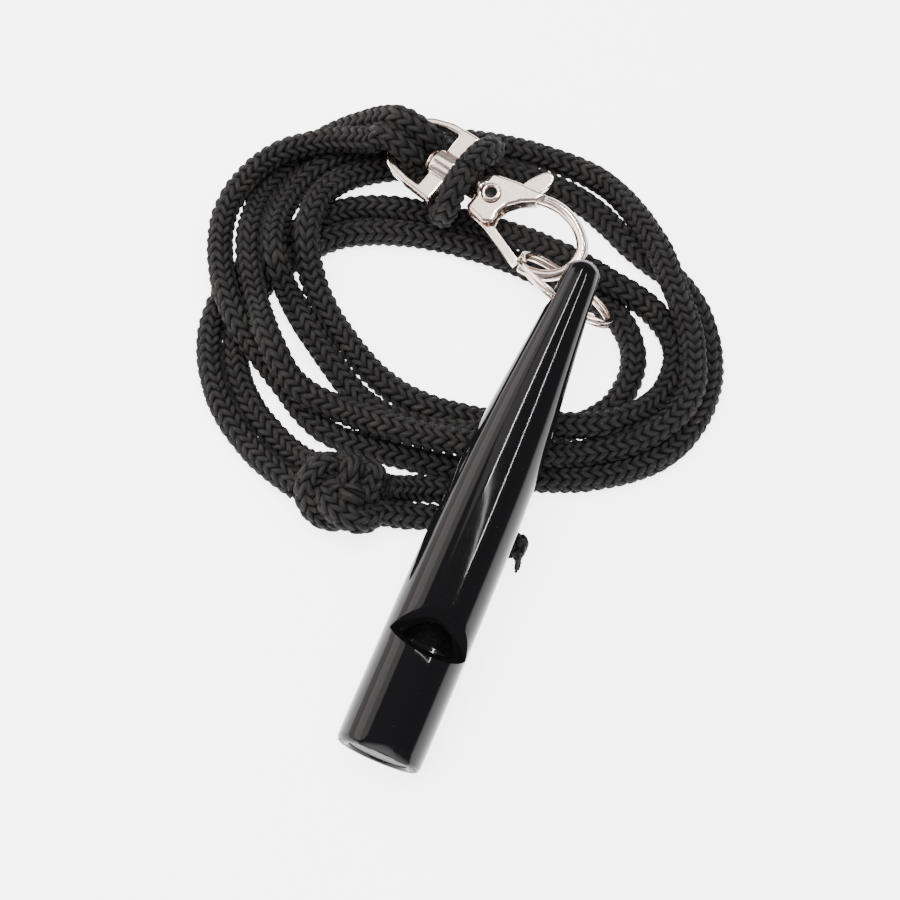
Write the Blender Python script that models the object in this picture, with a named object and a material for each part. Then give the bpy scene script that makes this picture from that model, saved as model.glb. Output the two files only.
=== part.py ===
"""A dog-training whistle on a knitted neck cord, with its split ring and swivel trigger snap.

Frame: metres, +Z up, standing on z = 0. +Y runs along the whistle from its mouth end to its tip. The
origin is under the middle of the hard parts (the whistle, the ring and the snap), on the table.

Four pieces of the object are placed as rigid groups: the whistle on its mouth rim with its tip raised
over the coiled cord, the ring hanging in the tip hole, the snap lying on the cord, and the cord itself.
"""

import math

import bmesh
import bpy
import numpy as np
from mathutils import Matrix, Vector

MM = 0.001
GAP = 0.3 * MM  # clearance between two pieces that touch on the real object

# Whistle, along its own axis: y = 0 at the mouth end, local +Z through the window.
WHISTLE_LENGTH = 80 * MM
WHISTLE_MOUTH = Vector((14.15, -48.71, 6.2)) * MM  # centre of the mouth-end face
WHISTLE_TILT = math.radians(8.3)
WHISTLE_ROLL = math.radians(17)
WHISTLE_YAW = math.radians(-1)
# (distance from the mouth end, radius) in mm; the tip is rounded off after the last pair
WHISTLE_OUTLINE = (
    (0.0, 5.85), (0.25, 6.2), (0.8, 6.38), (4.5, 6.42), (12, 6.4), (20, 6.36), (28, 6.27),
    (36, 6.11), (44, 5.83), (50, 5.45), (56, 4.94), (62, 4.31), (67, 3.74), (72.5, 3.16), (76, 2.87),
)
TIP_RADIUS = 2.85 * MM
BORE_RADIUS = 4.6 * MM
BORE_DEPTH = 46 * MM
WINDOW_FROM_MOUTH = 17.3 * MM
WINDOW_FLOOR = 2.2 * MM  # height of the window's bottom line over the axis
WINDOW_LIP_RUN = 2.3 * MM
WINDOW_RAMP_RUN = 5.0 * MM
MOUTH_BEVEL_FLOOR = 4.5 * MM
MOUTH_BEVEL_RUN = 1.9 * MM
PLUG_RIB_HALF = 2.3 * MM
PLUG_SHOULDER = 1.3 * MM
TIP_HOLE_FROM_MOUTH = 72.5 * MM
TIP_HOLE_RADIUS = 1.5 * MM

# Split ring: a flat wire wound twice.
RING_CENTRE = Vector((13.14, 28.02, 11.4)) * MM
RING_NORMAL = Vector((0.322, 0.752, 0.576))
RING_RADIUS = 8.2 * MM  # to the middle of the wire
RING_WIRE = (0.8 * MM, 0.65 * MM)  # radial and axial
RING_PITCH = 0.75 * MM
RING_START = math.radians(60)

# Swivel snap, in its own plane: x from the eye to the hook's end, origin on the gate's rivet.
SNAP_RIVET = Vector((-3.3, 39.84, 9.23)) * MM
SNAP_TURN = math.radians(-15)
SNAP_RISE = math.radians(2.5)
SNAP_ROLL = math.radians(8)
HOOK_THICK = 3.2 * MM
SLOT_HEIGHT = 1.9 * MM
WEB_SPAN = (-0.65 * MM, 0.15 * MM)  # the gate lever's thin web, inside the slot
GATE_HALF = 0.9 * MM
RIVET_SHANK = 1.1 * MM
RIVET_BORE = 0.8 * MM
RIVET_FLANGE = 1.6 * MM
SPRING_WIRE = 0.18 * MM
SPRING_HEIGHT = 0.55 * MM
PIN_RADIUS = 1.2 * MM
PIN_HEAD = (1.8 * MM, 0.7 * MM)  # radius and thickness
NECK_RADIUS = 2.0 * MM
EYE_HALF = 1.0 * MM
BARREL_RADIUS = 2.2 * MM
BARREL_SPAN = (-11.0 * MM, -7.2 * MM)

# Outlines in the snap's plane, in mm.
PLATE = (
    (1.6, -4.6), (-2.1, -3.9), (-1.9, 2.9), (2.4, 3.9), (6.0, 4.3), (7.4, 4.6), (6.5, 2.7), (4.6, 1.4),
    (3.2, -0.3),
    (2.7, -2.0), (3.1, -3.7),
)
# The hook's arch: middle of the rod, then its half width and half height.
ARCH = (
    (4.3, 2.2, 0.7, 0.8), (5.9, 3.4, 0.8, 1.0), (8.3, 4.1, 0.9, 1.3), (10.7, 4.1, 0.9, 1.3),
    (13.2, 3.4, 0.9, 1.2),
    (15.5, 1.9, 0.9, 1.1), (16.8, 0.2, 0.9, 1.0), (17.1, -1.5, 0.9, 1.0), (16.6, -3.7, 0.9, 0.95),
    (15.1, -5.6, 0.9, 0.9), (12.9, -6.7, 0.85, 0.85), (10.2, -7.1, 0.8, 0.8),
)
GATE_ARM = ((3.3, -4.0), (9.6, -6.4), (9.3, -7.6), (2.1, -5.1))
GATE_WEB = (
    (2.6, -4.7), (0.9, -1.9), (1.9, 0.4), (3.0, 2.1), (5.8, 4.7), (6.3, 7.2), (5.7, 8.1), (4.7, 8.0),
    (3.4, 6.1),
    (1.8, 2.5), (-0.5, 1.8), (-1.6, 0.5), (-1.5, -1.2), (0.0, -3.4), (1.4, -4.8),
)
SLOT = (
    (-1.95, -7.0), (-1.95, 2.2), (-1.2, 9.0), (8.0, 9.0), (5.6, 3.6), (2.6, 1.2), (2.1, -0.9),
    (4.6, -1.4), (4.6, -7.0),
)
EYE_OUTER = (
    (-6.9, 6.7), (-12.0, 6.7), (-16.1, 5.2), (-18.1, 2.1), (-18.3, -1.7), (-17.0, -4.6), (-13.2, -5.8),
    (-7.6, -6.3),
)
EYE_INNER = (
    (-10.2, 5.4), (-12.6, 5.2), (-15.2, 4.2), (-16.6, 1.7), (-16.7, -1.3), (-15.6, -3.5), (-13.1, -4.5),
    (-10.7, -4.7),
)

# What else the cord lies against, as (start, end, radius) in mm: on the snap, then along the whistle.
SNAP_RODS = (
    ((-6.9, 0, 0), (-2, 0, 0), 2.0), ((-10.9, 0, 0), (-7.3, 0, 0), 2.2), ((-8.6, -5.6, 0), (-8.6, 6, 0), 1.8),
    ((-1, -3.6, 0), (-1, 3, 0), 1.9), ((1, -4, 0), (9.5, -7, 0), 1.3), ((1, 3, 0), (6, 7.5, 0), 1.3),
)
WHISTLE_RODS = (((0, 6, 0), (0, 36, 0), 6.4), ((0, 36, 0), (0, 56, 0), 5.6), ((0, 56, 0), (0, 77, 0), 4.2))

# Cord: the two halves of one cord, each from the middle of its hitch to the knot. Route points in mm.
CORD_RADIUS = 1.75 * MM
CORD_SPACING = 3.85 * MM  # kept between the middles of two stretches that lie together
CORD_SAGITTA = 0.22 * MM  # how far a chord may stand off the smooth route
ROUTE_STEP = 1.9 * MM
OUTER_ROUTE = (
    (-8.1, 40.7, 12.8), (-9.0, 38.0, 12), (-9.8, 35.7, 9.8), (-11.2, 35.4, 6.9), (-12.7, 37.6, 5.7),
    (-15.0, 39.6, 5.9),
    (-17.6, 40.5, 8.6), (-20.1, 41.2, 11.1), (-23.0, 41.8, 11.5), (-24.3, 41.6, 10), (-31.3, 41.6, 5.5),
    (-38.8, 35.6, 4.5),
    (-41.3, 24.6, 5.5), (-37.8, 14.6, 5.5), (-31.8, 7.6, 5), (-23.3, 2.6, 2), (-13.3, -2.9, 2),
    (-1.3, -2.4, 2), (12.2, 0.1, 2),
    (26.2, 5.6, 2), (35.7, 14.1, 2), (37.7, 24.6, 2), (34.2, 34.1, 2), (28.2, 40.1, 2), (19.2, 43.6, 2),
    (9.2, 48.1, 2),
    (-1.3, 49.1, 2), (-11.3, 46.6, 2), (-21.3, 42.1, 2), (-27.8, 35.6, 3), (-28.3, 25.6, 5.5),
    (-24.3, 18.1, 3), (-16.3, 11.1, 2),
    (-5.8, 5.6, 2), (6.7, 5.1, 2), (19.7, 9.1, 2), (25.7, 16.6, 2), (25.7, 25.6, 2), (20.2, 32.1, 2),
    (10.2, 34.1, 2),
    (-3.3, 35.1, 2), (-15.8, 33.1, 2), (-25.3, 28.6, 2), (-30.8, 20.6, 2), (-32.8, 11.1, 2),
    (-30.3, 2.6, 2), (-24.8, -3.9, 2),
    (-15.8, -8.9, 2.7), (-12.5, -9.7, 3.9),
)
INNER_ROUTE = (
    (-8.0, 41.4, 12.8), (-7.3, 44.2, 12), (-6.9, 46.6, 9.8), (-8.0, 47.3, 6.9), (-10.5, 46.1, 5.4),
    (-13.2, 45.8, 5.9),
    (-15.8, 45.8, 8.7), (-18.8, 45.8, 11.1), (-21.8, 46.0, 11.5), (-26.3, 45.6, 8), (-33.8, 42.1, 2),
    (-37.8, 32.6, 2),
    (-36.3, 21.1, 5.5), (-31.8, 12.1, 5.5), (-26.3, 5.1, 7), (-19.8, 0.6, 5), (-11.3, 0.1, 4),
    (-0.8, 0.6, 5.5), (10.7, 3.6, 5),
    (22.2, 7.1, 3), (31.2, 13.1, 3.5), (35.7, 20.6, 5), (33.2, 29.6, 5), (27.7, 37.1, 5), (21.2, 44.6, 4),
    (10.7, 52.1, 2),
    (-1.3, 53.1, 2), (-12.3, 51.1, 2), (-22.3, 46.1, 2), (-30.8, 39.6, 2), (-33.8, 30.1, 2.5),
    (-31.3, 19.6, 5.5),
    (-26.8, 15.6, 2), (-18.3, 9.1, 2), (-7.8, 3.1, 2), (4.2, 3.6, 2), (17.7, 8.1, 5), (27.2, 12.1, 4.5),
    (32.2, 20.1, 2),
    (31.7, 28.1, 2), (26.2, 33.1, 2), (17.2, 34.6, 4.5), (7.2, 36.1, 5.5), (-4.8, 37.6, 3.5),
    (-14.3, 37.6, 2),
    (-24.8, 33.6, 2), (-31.3, 26.1, 2), (-35.8, 17.1, 2), (-36.3, 6.6, 2), (-31.3, -2.9, 2),
    (-23.3, -9.4, 2), (-13.8, -13.4, 2.9),
)
UPPER_TAIL = ((-0.6, -9.4, 4.9), (0.9, -8.3, 3.2), (3.7, -6.6, 2), (7.2, -5.6, 2), (10.7, -5.2, 2))
LOWER_TAIL = ((-0.2, -12.7, 3.2), (3.6, -11.3, 2.2), (7.9, -10.0, 2), (14.2, -9.6, 2), (19.1, -9.8, 2))
KNOT_CENTRE = Vector((-6.9, -13.0, 5.4)) * MM
KNOT_HALF = Vector((6.2, 5.6, 4.8)) * MM
KNOT_LUMP = 0.09


def clear_scene():
    """Removes whatever the scene starts with."""
    for item in list(bpy.data.objects):
        bpy.data.objects.remove(item, do_unlink=True)


def finish(name, colour, roughness, metallic=0.0):
    """A Principled material."""
    made = bpy.data.materials.new(name)
    made.use_nodes = True
    shader = made.node_tree.nodes["Principled BSDF"]
    shader.inputs["Base Color"].default_value = (*colour, 1.0)
    shader.inputs["Roughness"].default_value = roughness
    shader.inputs["Metallic"].default_value = metallic
    return made


def place(name, mesh_or_curve, material, parent=None, smooth_angle=40):
    """Links a new object, gives it its material and its parent, and shades it smooth."""
    item = bpy.data.objects.new(name, mesh_or_curve)
    bpy.context.scene.collection.objects.link(item)
    item.data.materials.append(material)
    item.parent = parent
    if isinstance(mesh_or_curve, bpy.types.Mesh):
        mesh_or_curve.shade_smooth()
        mesh_or_curve.set_sharp_from_angle(angle=math.radians(smooth_angle))
    return item


def empty(name, matrix):
    """An empty that carries a rigid group."""
    item = bpy.data.objects.new(name, None)
    bpy.context.scene.collection.objects.link(item)
    item.matrix_world = matrix
    return item


def mesh_from(bm, name):
    """Closes a bmesh into a mesh with its normals out."""
    bmesh.ops.recalc_face_normals(bm, faces=bm.faces)
    mesh = bpy.data.meshes.new(name)
    bm.to_mesh(mesh)
    bm.free()
    return mesh


def turned(name, profile, segments=40, axis="Y"):
    """A solid of revolution from (along, radius) pairs; with no zero radius it has a hole."""
    bm = bmesh.new()
    rings = []
    for along, radius in profile:
        if radius < 1e-7:
            rings.append([bm.verts.new((0, along, 0))])
            continue
        angles = [2 * math.pi * k / segments for k in range(segments)]
        rings.append([bm.verts.new((radius * math.cos(a), along, radius * math.sin(a))) for a in angles])
    pairs = list(zip(rings, rings[1:]))
    if len(rings[0]) > 1 and len(rings[-1]) > 1:
        pairs.append((rings[-1], rings[0]))
    for first, second in pairs:
        for k in range(segments):
            corners = [first[k % len(first)], first[(k + 1) % len(first)]]
            corners += [second[(k + 1) % len(second)], second[k % len(second)]]
            kept = list(dict.fromkeys(corners))
            if len(kept) > 2:
                bm.faces.new(kept)
    mesh = mesh_from(bm, name)
    if axis == "X":
        mesh.transform(Matrix.Rotation(math.radians(-90), 4, "Z"))
    elif axis == "Z":
        mesh.transform(Matrix.Rotation(math.radians(90), 4, "X"))
    return mesh


def plate(name, outline, low, high):
    """Extrudes an outline in mm between two heights."""
    bm = bmesh.new()
    bottom = [bm.verts.new((x * MM, y * MM, low)) for x, y in outline]
    top = [bm.verts.new((x * MM, y * MM, high)) for x, y in outline]
    bm.faces.new(bottom[::-1])
    bm.faces.new(top)
    for k in range(len(outline)):
        nxt = (k + 1) % len(outline)
        bm.faces.new((bottom[k], bottom[nxt], top[nxt], top[k]))
    return mesh_from(bm, name)


def swept(name, stations, per_span=3, segments=12):
    """A rod in the plane z = 0 along (x, y, half width, half height) stations in mm."""
    rows = curved(stations, per_span) * MM
    path = rows[:, :2]
    along = np.gradient(path, axis=0)
    along /= np.linalg.norm(along, axis=1)[:, None]
    bm = bmesh.new()
    rings = []
    for (x, y), (dx, dy), (wide, high) in zip(path, along, rows[:, 2:]):
        angles = [2 * math.pi * (k + 0.5) / segments for k in range(segments)]
        rings.append([
            bm.verts.new((x - dy * wide * math.cos(a), y + dx * wide * math.cos(a), high * math.sin(a)))
            for a in angles
        ])
    for first, second in zip(rings, rings[1:]):
        for k in range(segments):
            nxt = (k + 1) % segments
            bm.faces.new((first[k], first[nxt], second[nxt], second[k]))
    bm.faces.new(rings[0][::-1])
    bm.faces.new(rings[-1])
    return mesh_from(bm, name)


def curved(points, per_span=4, closed=False):
    """Points along a centripetal Catmull-Rom curve through the given ones."""
    given = [np.array(p, float) for p in points]
    if closed:
        given = [given[-1], *given, given[0], given[1]]
    else:
        given = [2 * given[0] - given[1], *given, 2 * given[-1] - given[-2]]
    found = []
    for p0, p1, p2, p3 in zip(given, given[1:], given[2:], given[3:]):
        t0, t1 = 0.0, math.sqrt(np.linalg.norm(p1 - p0))
        t2 = t1 + math.sqrt(np.linalg.norm(p2 - p1))
        t3 = t2 + math.sqrt(np.linalg.norm(p3 - p2))
        for t in np.linspace(t1, t2, per_span, endpoint=False):
            a1 = (t1 - t) / (t1 - t0) * p0 + (t - t0) / (t1 - t0) * p1
            a2 = (t2 - t) / (t2 - t1) * p1 + (t - t1) / (t2 - t1) * p2
            a3 = (t3 - t) / (t3 - t2) * p2 + (t - t2) / (t3 - t2) * p3
            b1 = (t2 - t) / (t2 - t0) * a1 + (t - t0) / (t2 - t0) * a2
            b2 = (t3 - t) / (t3 - t1) * a2 + (t - t1) / (t3 - t1) * a3
            found.append((t2 - t) / (t2 - t1) * b1 + (t - t1) / (t2 - t1) * b2)
    if not closed:
        found.append(given[-2])
    return np.array(found)


def spaced(points, count):
    """The same curve read at evenly spaced points."""
    steps = np.linalg.norm(np.diff(points, axis=0), axis=1)
    travelled = np.concatenate([[0], np.cumsum(steps)])
    wanted = np.linspace(0, travelled[-1], count)
    return np.stack([np.interp(wanted, travelled, column) for column in points.T], axis=1)


def cutter(name, mesh, parent):
    """A hidden object that a Boolean uses."""
    item = bpy.data.objects.new(name, mesh)
    bpy.context.scene.collection.objects.link(item)
    item.parent = parent
    item.hide_render = True
    item.display_type = "WIRE"
    return item


def boolean(target, tool, operation="DIFFERENCE"):
    """Adds an exact Boolean to the target."""
    step = target.modifiers.new(tool.name, "BOOLEAN")
    step.operation = operation
    step.solver = "EXACT"
    step.object = tool


def rounded(target, width, segments=2, angle=50):
    """Adds a Bevel to the sharp edges."""
    step = target.modifiers.new("edges", "BEVEL")
    step.width = width
    step.segments = segments
    step.limit_method = "ANGLE"
    step.angle_limit = math.radians(angle)


def whistle_matrix():
    """From the whistle's own axes to the frame."""
    tilt = Matrix.Rotation(WHISTLE_YAW, 4, "Z") @ Matrix.Rotation(WHISTLE_TILT, 4, "X")
    roll = Matrix.Rotation(WHISTLE_ROLL, 4, "Y")
    return Matrix.Translation(WHISTLE_MOUTH) @ tilt @ roll


def whistle_profile():
    """The outside of the body: the turned outline, then a rounded tip."""
    profile = [(y * MM, r * MM) for y, r in WHISTLE_OUTLINE]
    last = WHISTLE_LENGTH - TIP_RADIUS
    for k in range(1, 5):
        angle = math.radians(18 + 72 * k / 4)
        profile.append((last + TIP_RADIUS * math.sin(angle), TIP_RADIUS * math.cos(angle)))
    profile[-1] = (WHISTLE_LENGTH, 0.0)
    return [(0.0, 0.0), *profile]


def build_whistle(plastic):
    """The moulded body with its air column, window, bevelled mouth and tip hole, and its windway plug."""
    group = empty("whistle", whistle_matrix())
    body = place("whistle_body", turned("whistle_body", whistle_profile()), plastic, group, 35)
    bore = [(-MM, 0), (-MM, BORE_RADIUS), (BORE_DEPTH, BORE_RADIUS), (BORE_DEPTH + 2 * MM, 2 * MM),
            (BORE_DEPTH + 2 * MM, 0)]
    boolean(body, cutter("bore_cut", turned("bore_cut", bore, 32), group))
    top = 9 * MM
    rise = (top - WINDOW_FLOOR) / (max(r for _, r in WHISTLE_OUTLINE) * MM - WINDOW_FLOOR)
    window = [(WINDOW_FROM_MOUTH, WINDOW_FLOOR), (WINDOW_FROM_MOUTH + rise * WINDOW_RAMP_RUN, top),
              (WINDOW_FROM_MOUTH - rise * WINDOW_LIP_RUN, top)]
    boolean(body, cutter("window_cut", wedge("window_cut", window), group))
    slope = (top - MOUTH_BEVEL_FLOOR) / (6.3 * MM - MOUTH_BEVEL_FLOOR)
    bevel = [(-MM, MOUTH_BEVEL_FLOOR - (6.3 * MM - MOUTH_BEVEL_FLOOR) * MM / MOUTH_BEVEL_RUN),
             (slope * MOUTH_BEVEL_RUN, top), (-MM, top)]
    boolean(body, cutter("mouth_cut", wedge("mouth_cut", bevel), group))
    across = [(-8 * MM, 0), (-8 * MM, TIP_HOLE_RADIUS), (8 * MM, TIP_HOLE_RADIUS), (8 * MM, 0)]
    hole = turned("tip_hole_cut", across, 20, "X")
    hole.transform(Matrix.Translation((0, TIP_HOLE_FROM_MOUTH, 0)))
    boolean(body, cutter("tip_hole_cut", hole, group))
    build_plug(plastic, group)


def wedge(name, outline, half=12 * MM):
    """A prism across the whistle from a (y, z) outline."""
    bm = bmesh.new()
    sides = [[bm.verts.new((x, y, z)) for y, z in outline] for x in (-half, half)]
    bm.faces.new(sides[0])
    bm.faces.new(sides[1][::-1])
    for k in range(len(outline)):
        nxt = (k + 1) % len(outline)
        bm.faces.new((sides[0][k], sides[1][k], sides[1][nxt], sides[0][nxt]))
    return mesh_from(bm, name)


def build_plug(plastic, group):
    """The windway plug: a rod with a flat top and a raised rib, pressed into the bore from the mouth."""
    radius = BORE_RADIUS - GAP
    low = math.asin(PLUG_SHOULDER / radius)
    arc = [math.pi - low + (math.pi + 2 * low) * k / 20 for k in range(21)]
    section = [(radius * math.cos(a), radius * math.sin(a)) for a in arc]
    section += [(PLUG_RIB_HALF, PLUG_SHOULDER), (PLUG_RIB_HALF, WINDOW_FLOOR),
                (-PLUG_RIB_HALF, WINDOW_FLOOR), (-PLUG_RIB_HALF, PLUG_SHOULDER)]
    bm = bmesh.new()
    ends = [[bm.verts.new((x, y, z)) for x, z in section] for y in (0.4 * MM, WINDOW_FROM_MOUTH - 0.1 * MM)]
    bm.faces.new(ends[0])
    bm.faces.new(ends[1][::-1])
    for k in range(len(section)):
        nxt = (k + 1) % len(section)
        bm.faces.new((ends[0][k], ends[1][k], ends[1][nxt], ends[0][nxt]))
    place("fipple_plug", mesh_from(bm, "fipple_plug"), plastic, group)


def ring_matrix():
    """From the ring's own plane to the frame."""
    turn = RING_NORMAL.to_track_quat("Z", "Y").to_matrix().to_4x4()
    return Matrix.Translation(RING_CENTRE) @ turn


def build_ring(metal):
    """The split ring, two turns of flat wire, through the whistle's tip hole and the hook."""
    group = empty("ring", ring_matrix())
    bm = bmesh.new()
    steps, half_r, half_z = 96, RING_WIRE[0] / 2, RING_WIRE[1] / 2
    upper = [(half_r, half_z * 0.5), (half_r * 0.5, half_z), (-half_r * 0.5, half_z), (-half_r, half_z * 0.5)]
    corners = [*upper, *((r, -z) for r, z in reversed(upper))]
    rings = []
    for k in range(steps + 1):
        share = k / steps
        angle = RING_START + share * 2 * math.radians(352)
        lift = RING_PITCH * ring_lift(share)
        rings.append([
            bm.verts.new((math.cos(angle) * (RING_RADIUS + r), math.sin(angle) * (RING_RADIUS + r), lift + z))
            for r, z in corners
        ])
    for first, second in zip(rings, rings[1:]):
        for k in range(8):
            nxt = (k + 1) % 8
            bm.faces.new((first[k], first[nxt], second[nxt], second[k]))
    bm.faces.new(rings[0])
    bm.faces.new(rings[-1][::-1])
    place("split_ring", mesh_from(bm, "split_ring"), metal, group)


def ring_lift(share):
    """Height of the wire in pitches: one flat turn, a short step, and a second flat turn."""
    step = min(max((share - 0.44) / 0.12, 0.0), 1.0)
    return step * step * (3 - 2 * step) - 0.5


def snap_matrix():
    """From the snap's plane to the frame."""
    turn = Matrix.Rotation(SNAP_TURN, 4, "Z") @ Matrix.Rotation(-SNAP_RISE, 4, "Y")
    return Matrix.Translation(SNAP_RIVET) @ turn @ Matrix.Rotation(SNAP_ROLL, 4, "X")


def build_snap(metal):
    """The swivel trigger snap: hook, gate lever, rivet, spring, swivel pin and eye."""
    group = empty("snap", snap_matrix())
    build_hook(metal, group)
    lever = plate("gate_lever", curved(GATE_WEB, 2, True), *WEB_SPAN)
    lever = place("gate_lever", lever, metal, group)
    arm = cutter("gate_arm", plate("gate_arm", GATE_ARM, -GATE_HALF, GATE_HALF), group)
    boolean(lever, arm, "UNION")
    boolean(lever, round_cutter("lever_hole", RIVET_SHANK + GAP, group))
    edge = HOOK_THICK / 2 + GAP / 2
    flange = edge + 0.45 * MM
    lip = RIVET_FLANGE - 0.3 * MM
    eyelet = [(-flange, RIVET_BORE), (-flange, lip), (-edge, RIVET_FLANGE), (-edge, RIVET_SHANK),
              (edge, RIVET_SHANK), (edge, RIVET_FLANGE), (flange, lip), (flange, RIVET_BORE)]
    place("gate_rivet", turned("gate_rivet", eyelet, 28, "Z"), metal, group)
    build_spring(metal, group)
    build_pin_and_eye(metal, group)


def round_cutter(name, radius, group, half=6 * MM):
    """A cylinder cutter along the snap's rivet."""
    mesh = turned(name, [(-half, 0), (-half, radius), (half, radius), (half, 0)], 24, "Z")
    return cutter(name, mesh, group)


def build_hook(metal, group):
    """The cast hook: a plate with a slot for the gate lever, a round neck, and an arch to the nose."""
    hook = place("hook_body", plate("hook_body", PLATE, -HOOK_THICK / 2, HOOK_THICK / 2), metal, group)
    rounded(hook, 0.4 * MM)
    boolean(hook, cutter("arch", swept("arch", ARCH), group), "UNION")
    neck = [(-6.9 * MM, 0), (-6.9 * MM, NECK_RADIUS), (-1.75 * MM, NECK_RADIUS), (-1.75 * MM, 0)]
    boolean(hook, cutter("neck", turned("neck", neck, 24, "X"), group), "UNION")
    boolean(hook, cutter("slot", plate("slot", SLOT, -SLOT_HEIGHT / 2, SLOT_HEIGHT / 2), group))
    boolean(hook, round_cutter("rivet_hole", RIVET_SHANK + GAP, group))
    hole = PIN_RADIUS + GAP
    bore = [(-8 * MM, 0), (-8 * MM, hole), (-3 * MM, hole), (-3 * MM, 0)]
    boolean(hook, cutter("pin_hole", turned("pin_hole", bore, 20, "X"), group))


def build_spring(metal, group):
    """The gate's torsion spring: most of a turn of wire round the rivet, with a leg on each side."""
    coil = [(1.6 * math.cos(a), 1.6 * math.sin(a)) for a in np.radians(np.linspace(-150, 120, 16))]
    legs = [(-1.6, -3.0), *coil, (-1.4, 1.9)]
    spring = bpy.data.curves.new("gate_spring", "CURVE")
    spring.dimensions = "3D"
    spring.bevel_depth = SPRING_WIRE
    spring.bevel_resolution = 1
    spring.use_fill_caps = True
    line = spring.splines.new("POLY")
    line.points.add(len(legs) - 1)
    for point, (x, y) in zip(line.points, legs):
        point.co = (x * MM, y * MM, SPRING_HEIGHT, 1)
    place("gate_spring", spring, metal, group)


def build_pin_and_eye(metal, group):
    """The headed pin that the eye turns on, and the eye: a flat loop with a barrel in its crossbar."""
    start = BARREL_SPAN[0] - GAP
    pin = [(start - PIN_HEAD[1], 0), (start - PIN_HEAD[1], PIN_HEAD[0] - 0.4 * MM),
           (start - 0.4 * MM, PIN_HEAD[0]), (start, PIN_HEAD[0]), (start, PIN_RADIUS),
           (-3.3 * MM, PIN_RADIUS), (-3.3 * MM, 0)]
    place("swivel_pin", turned("swivel_pin", pin, 24, "X"), metal, group)
    loop = list(map(tuple, curved(EYE_OUTER[1:-1], 3)))
    eye = plate("swivel_eye", [EYE_OUTER[0], *loop, EYE_OUTER[-1]], -EYE_HALF, EYE_HALF)
    eye = place("swivel_eye", eye, metal, group)
    inside = list(map(tuple, curved(EYE_INNER[1:-1], 3)))
    window = plate("eye_window", [EYE_INNER[0], *inside, EYE_INNER[-1]], -4 * MM, 4 * MM)
    boolean(eye, cutter("eye_window", window, group))
    rounded(eye, 0.35 * MM)
    barrel = [(BARREL_SPAN[0], 0), (BARREL_SPAN[0], BARREL_RADIUS), (BARREL_SPAN[1], BARREL_RADIUS),
              (BARREL_SPAN[1], 0)]
    boolean(eye, cutter("barrel", turned("barrel", barrel, 28, "X"), group), "UNION")
    hole = PIN_RADIUS + GAP
    bore = [(-13 * MM, 0), (-13 * MM, hole), (-6 * MM, hole), (-6 * MM, 0)]
    boolean(eye, cutter("barrel_hole", turned("barrel_hole", bore, 20, "X"), group))


def rods():
    """Everything hard that the cord keeps clear of: starts, ends and the distance its middle keeps."""
    arch = [(x, y, 0) for x, y, _, _ in ARCH]
    eye = [((a + c) / 2, (b + d) / 2, 0) for (a, b), (c, d) in zip(EYE_OUTER, EYE_INNER)]
    snap = [*SNAP_RODS, *((a, b, 1.1) for a, b in zip(arch, arch[1:]))]
    snap += [(a, b, 1.25) for a, b in zip(eye, eye[1:])]
    reach = RING_RADIUS / MM
    turns = [(reach * math.cos(a), reach * math.sin(a), 0) for a in np.linspace(0, 2 * math.pi, 17)]
    ring = [(a, b, 0.85) for a, b in zip(turns, turns[1:])]
    found = []
    for frame, group in ((snap_matrix(), snap), (whistle_matrix(), WHISTLE_RODS), (ring_matrix(), ring)):
        for start, end, radius in group:
            keep = radius * MM + CORD_RADIUS + 0.15 * MM
            found.append((frame @ (Vector(start) * MM), frame @ (Vector(end) * MM), keep))
    return tuple(np.array(column) for column in zip(*found))


def shoved(points, starts, ends, keep):
    """How far each point has to move to clear the rods."""
    along = ends - starts
    share = ((points[:, None] - starts) * along).sum(2) / (along * along).sum(1)
    apart = points[:, None] - (starts + np.clip(share, 0, 1)[..., None] * along)
    length = np.linalg.norm(apart, axis=2) + 1e-12
    return (apart * (np.clip(keep - length, 0, None) / length)[..., None]).sum(1)


def settled(strands, rounds=420):
    """Lets the strands lie on the table and on each other: stretches that meet are pushed a cord apart."""
    sizes = [len(s) for s in strands]
    last = np.cumsum(sizes)
    start = np.concatenate(strands)
    points = start.copy()
    owner = np.repeat(range(len(strands)), sizes)
    place_in = np.concatenate([np.arange(n) for n in sizes])
    reach = 2.2 * CORD_SPACING / ROUTE_STEP
    near = (owner[:, None] == owner) & (abs(place_in[:, None] - place_in) < reach)
    fixed = np.isin(np.arange(len(points)), [*(last - 1), *(last - np.array(sizes))])
    obstacles = rods()
    own_bend = np.zeros_like(start)
    own_bend[1:-1] = (start[:-2] + start[2:]) / 2 - start[1:-1]
    for _ in range(rounds):
        apart = points[:, None] - points
        length = np.linalg.norm(apart, axis=2) + 1e-12
        short = np.where(near, 0, np.clip(CORD_SPACING - length, 0, None))
        push = (apart * (short / length)[..., None]).sum(1)
        moved = points + 0.5 * push / np.maximum((short > 0).sum(1), 1)[:, None]
        bend = np.zeros_like(points)
        bend[1:-1] = (moved[:-2] + moved[2:]) / 2 - moved[1:-1]
        moved += 0.3 * (bend - own_bend)
        moved += 0.7 * shoved(moved, *obstacles)
        moved[fixed] = start[fixed]
        moved[:, 2] = np.maximum(moved[:, 2], CORD_RADIUS)
        points = moved
    return np.split(points, last[:-1])


def thinned(points, sagitta=CORD_SAGITTA, longest=9):
    """The fewest of these points whose chords stay close to the route."""
    kept = [0]
    while kept[-1] < len(points) - 1:
        here = kept[-1]
        reach = min(here + longest, len(points) - 1)
        while reach > here + 1:
            chord = points[reach] - points[here]
            off = np.cross(points[here:reach] - points[here], chord) / np.linalg.norm(chord)
            if np.linalg.norm(off, axis=1).max() < sagitta:
                break
            reach -= 1
        kept.append(reach)
    return points[kept]


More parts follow.
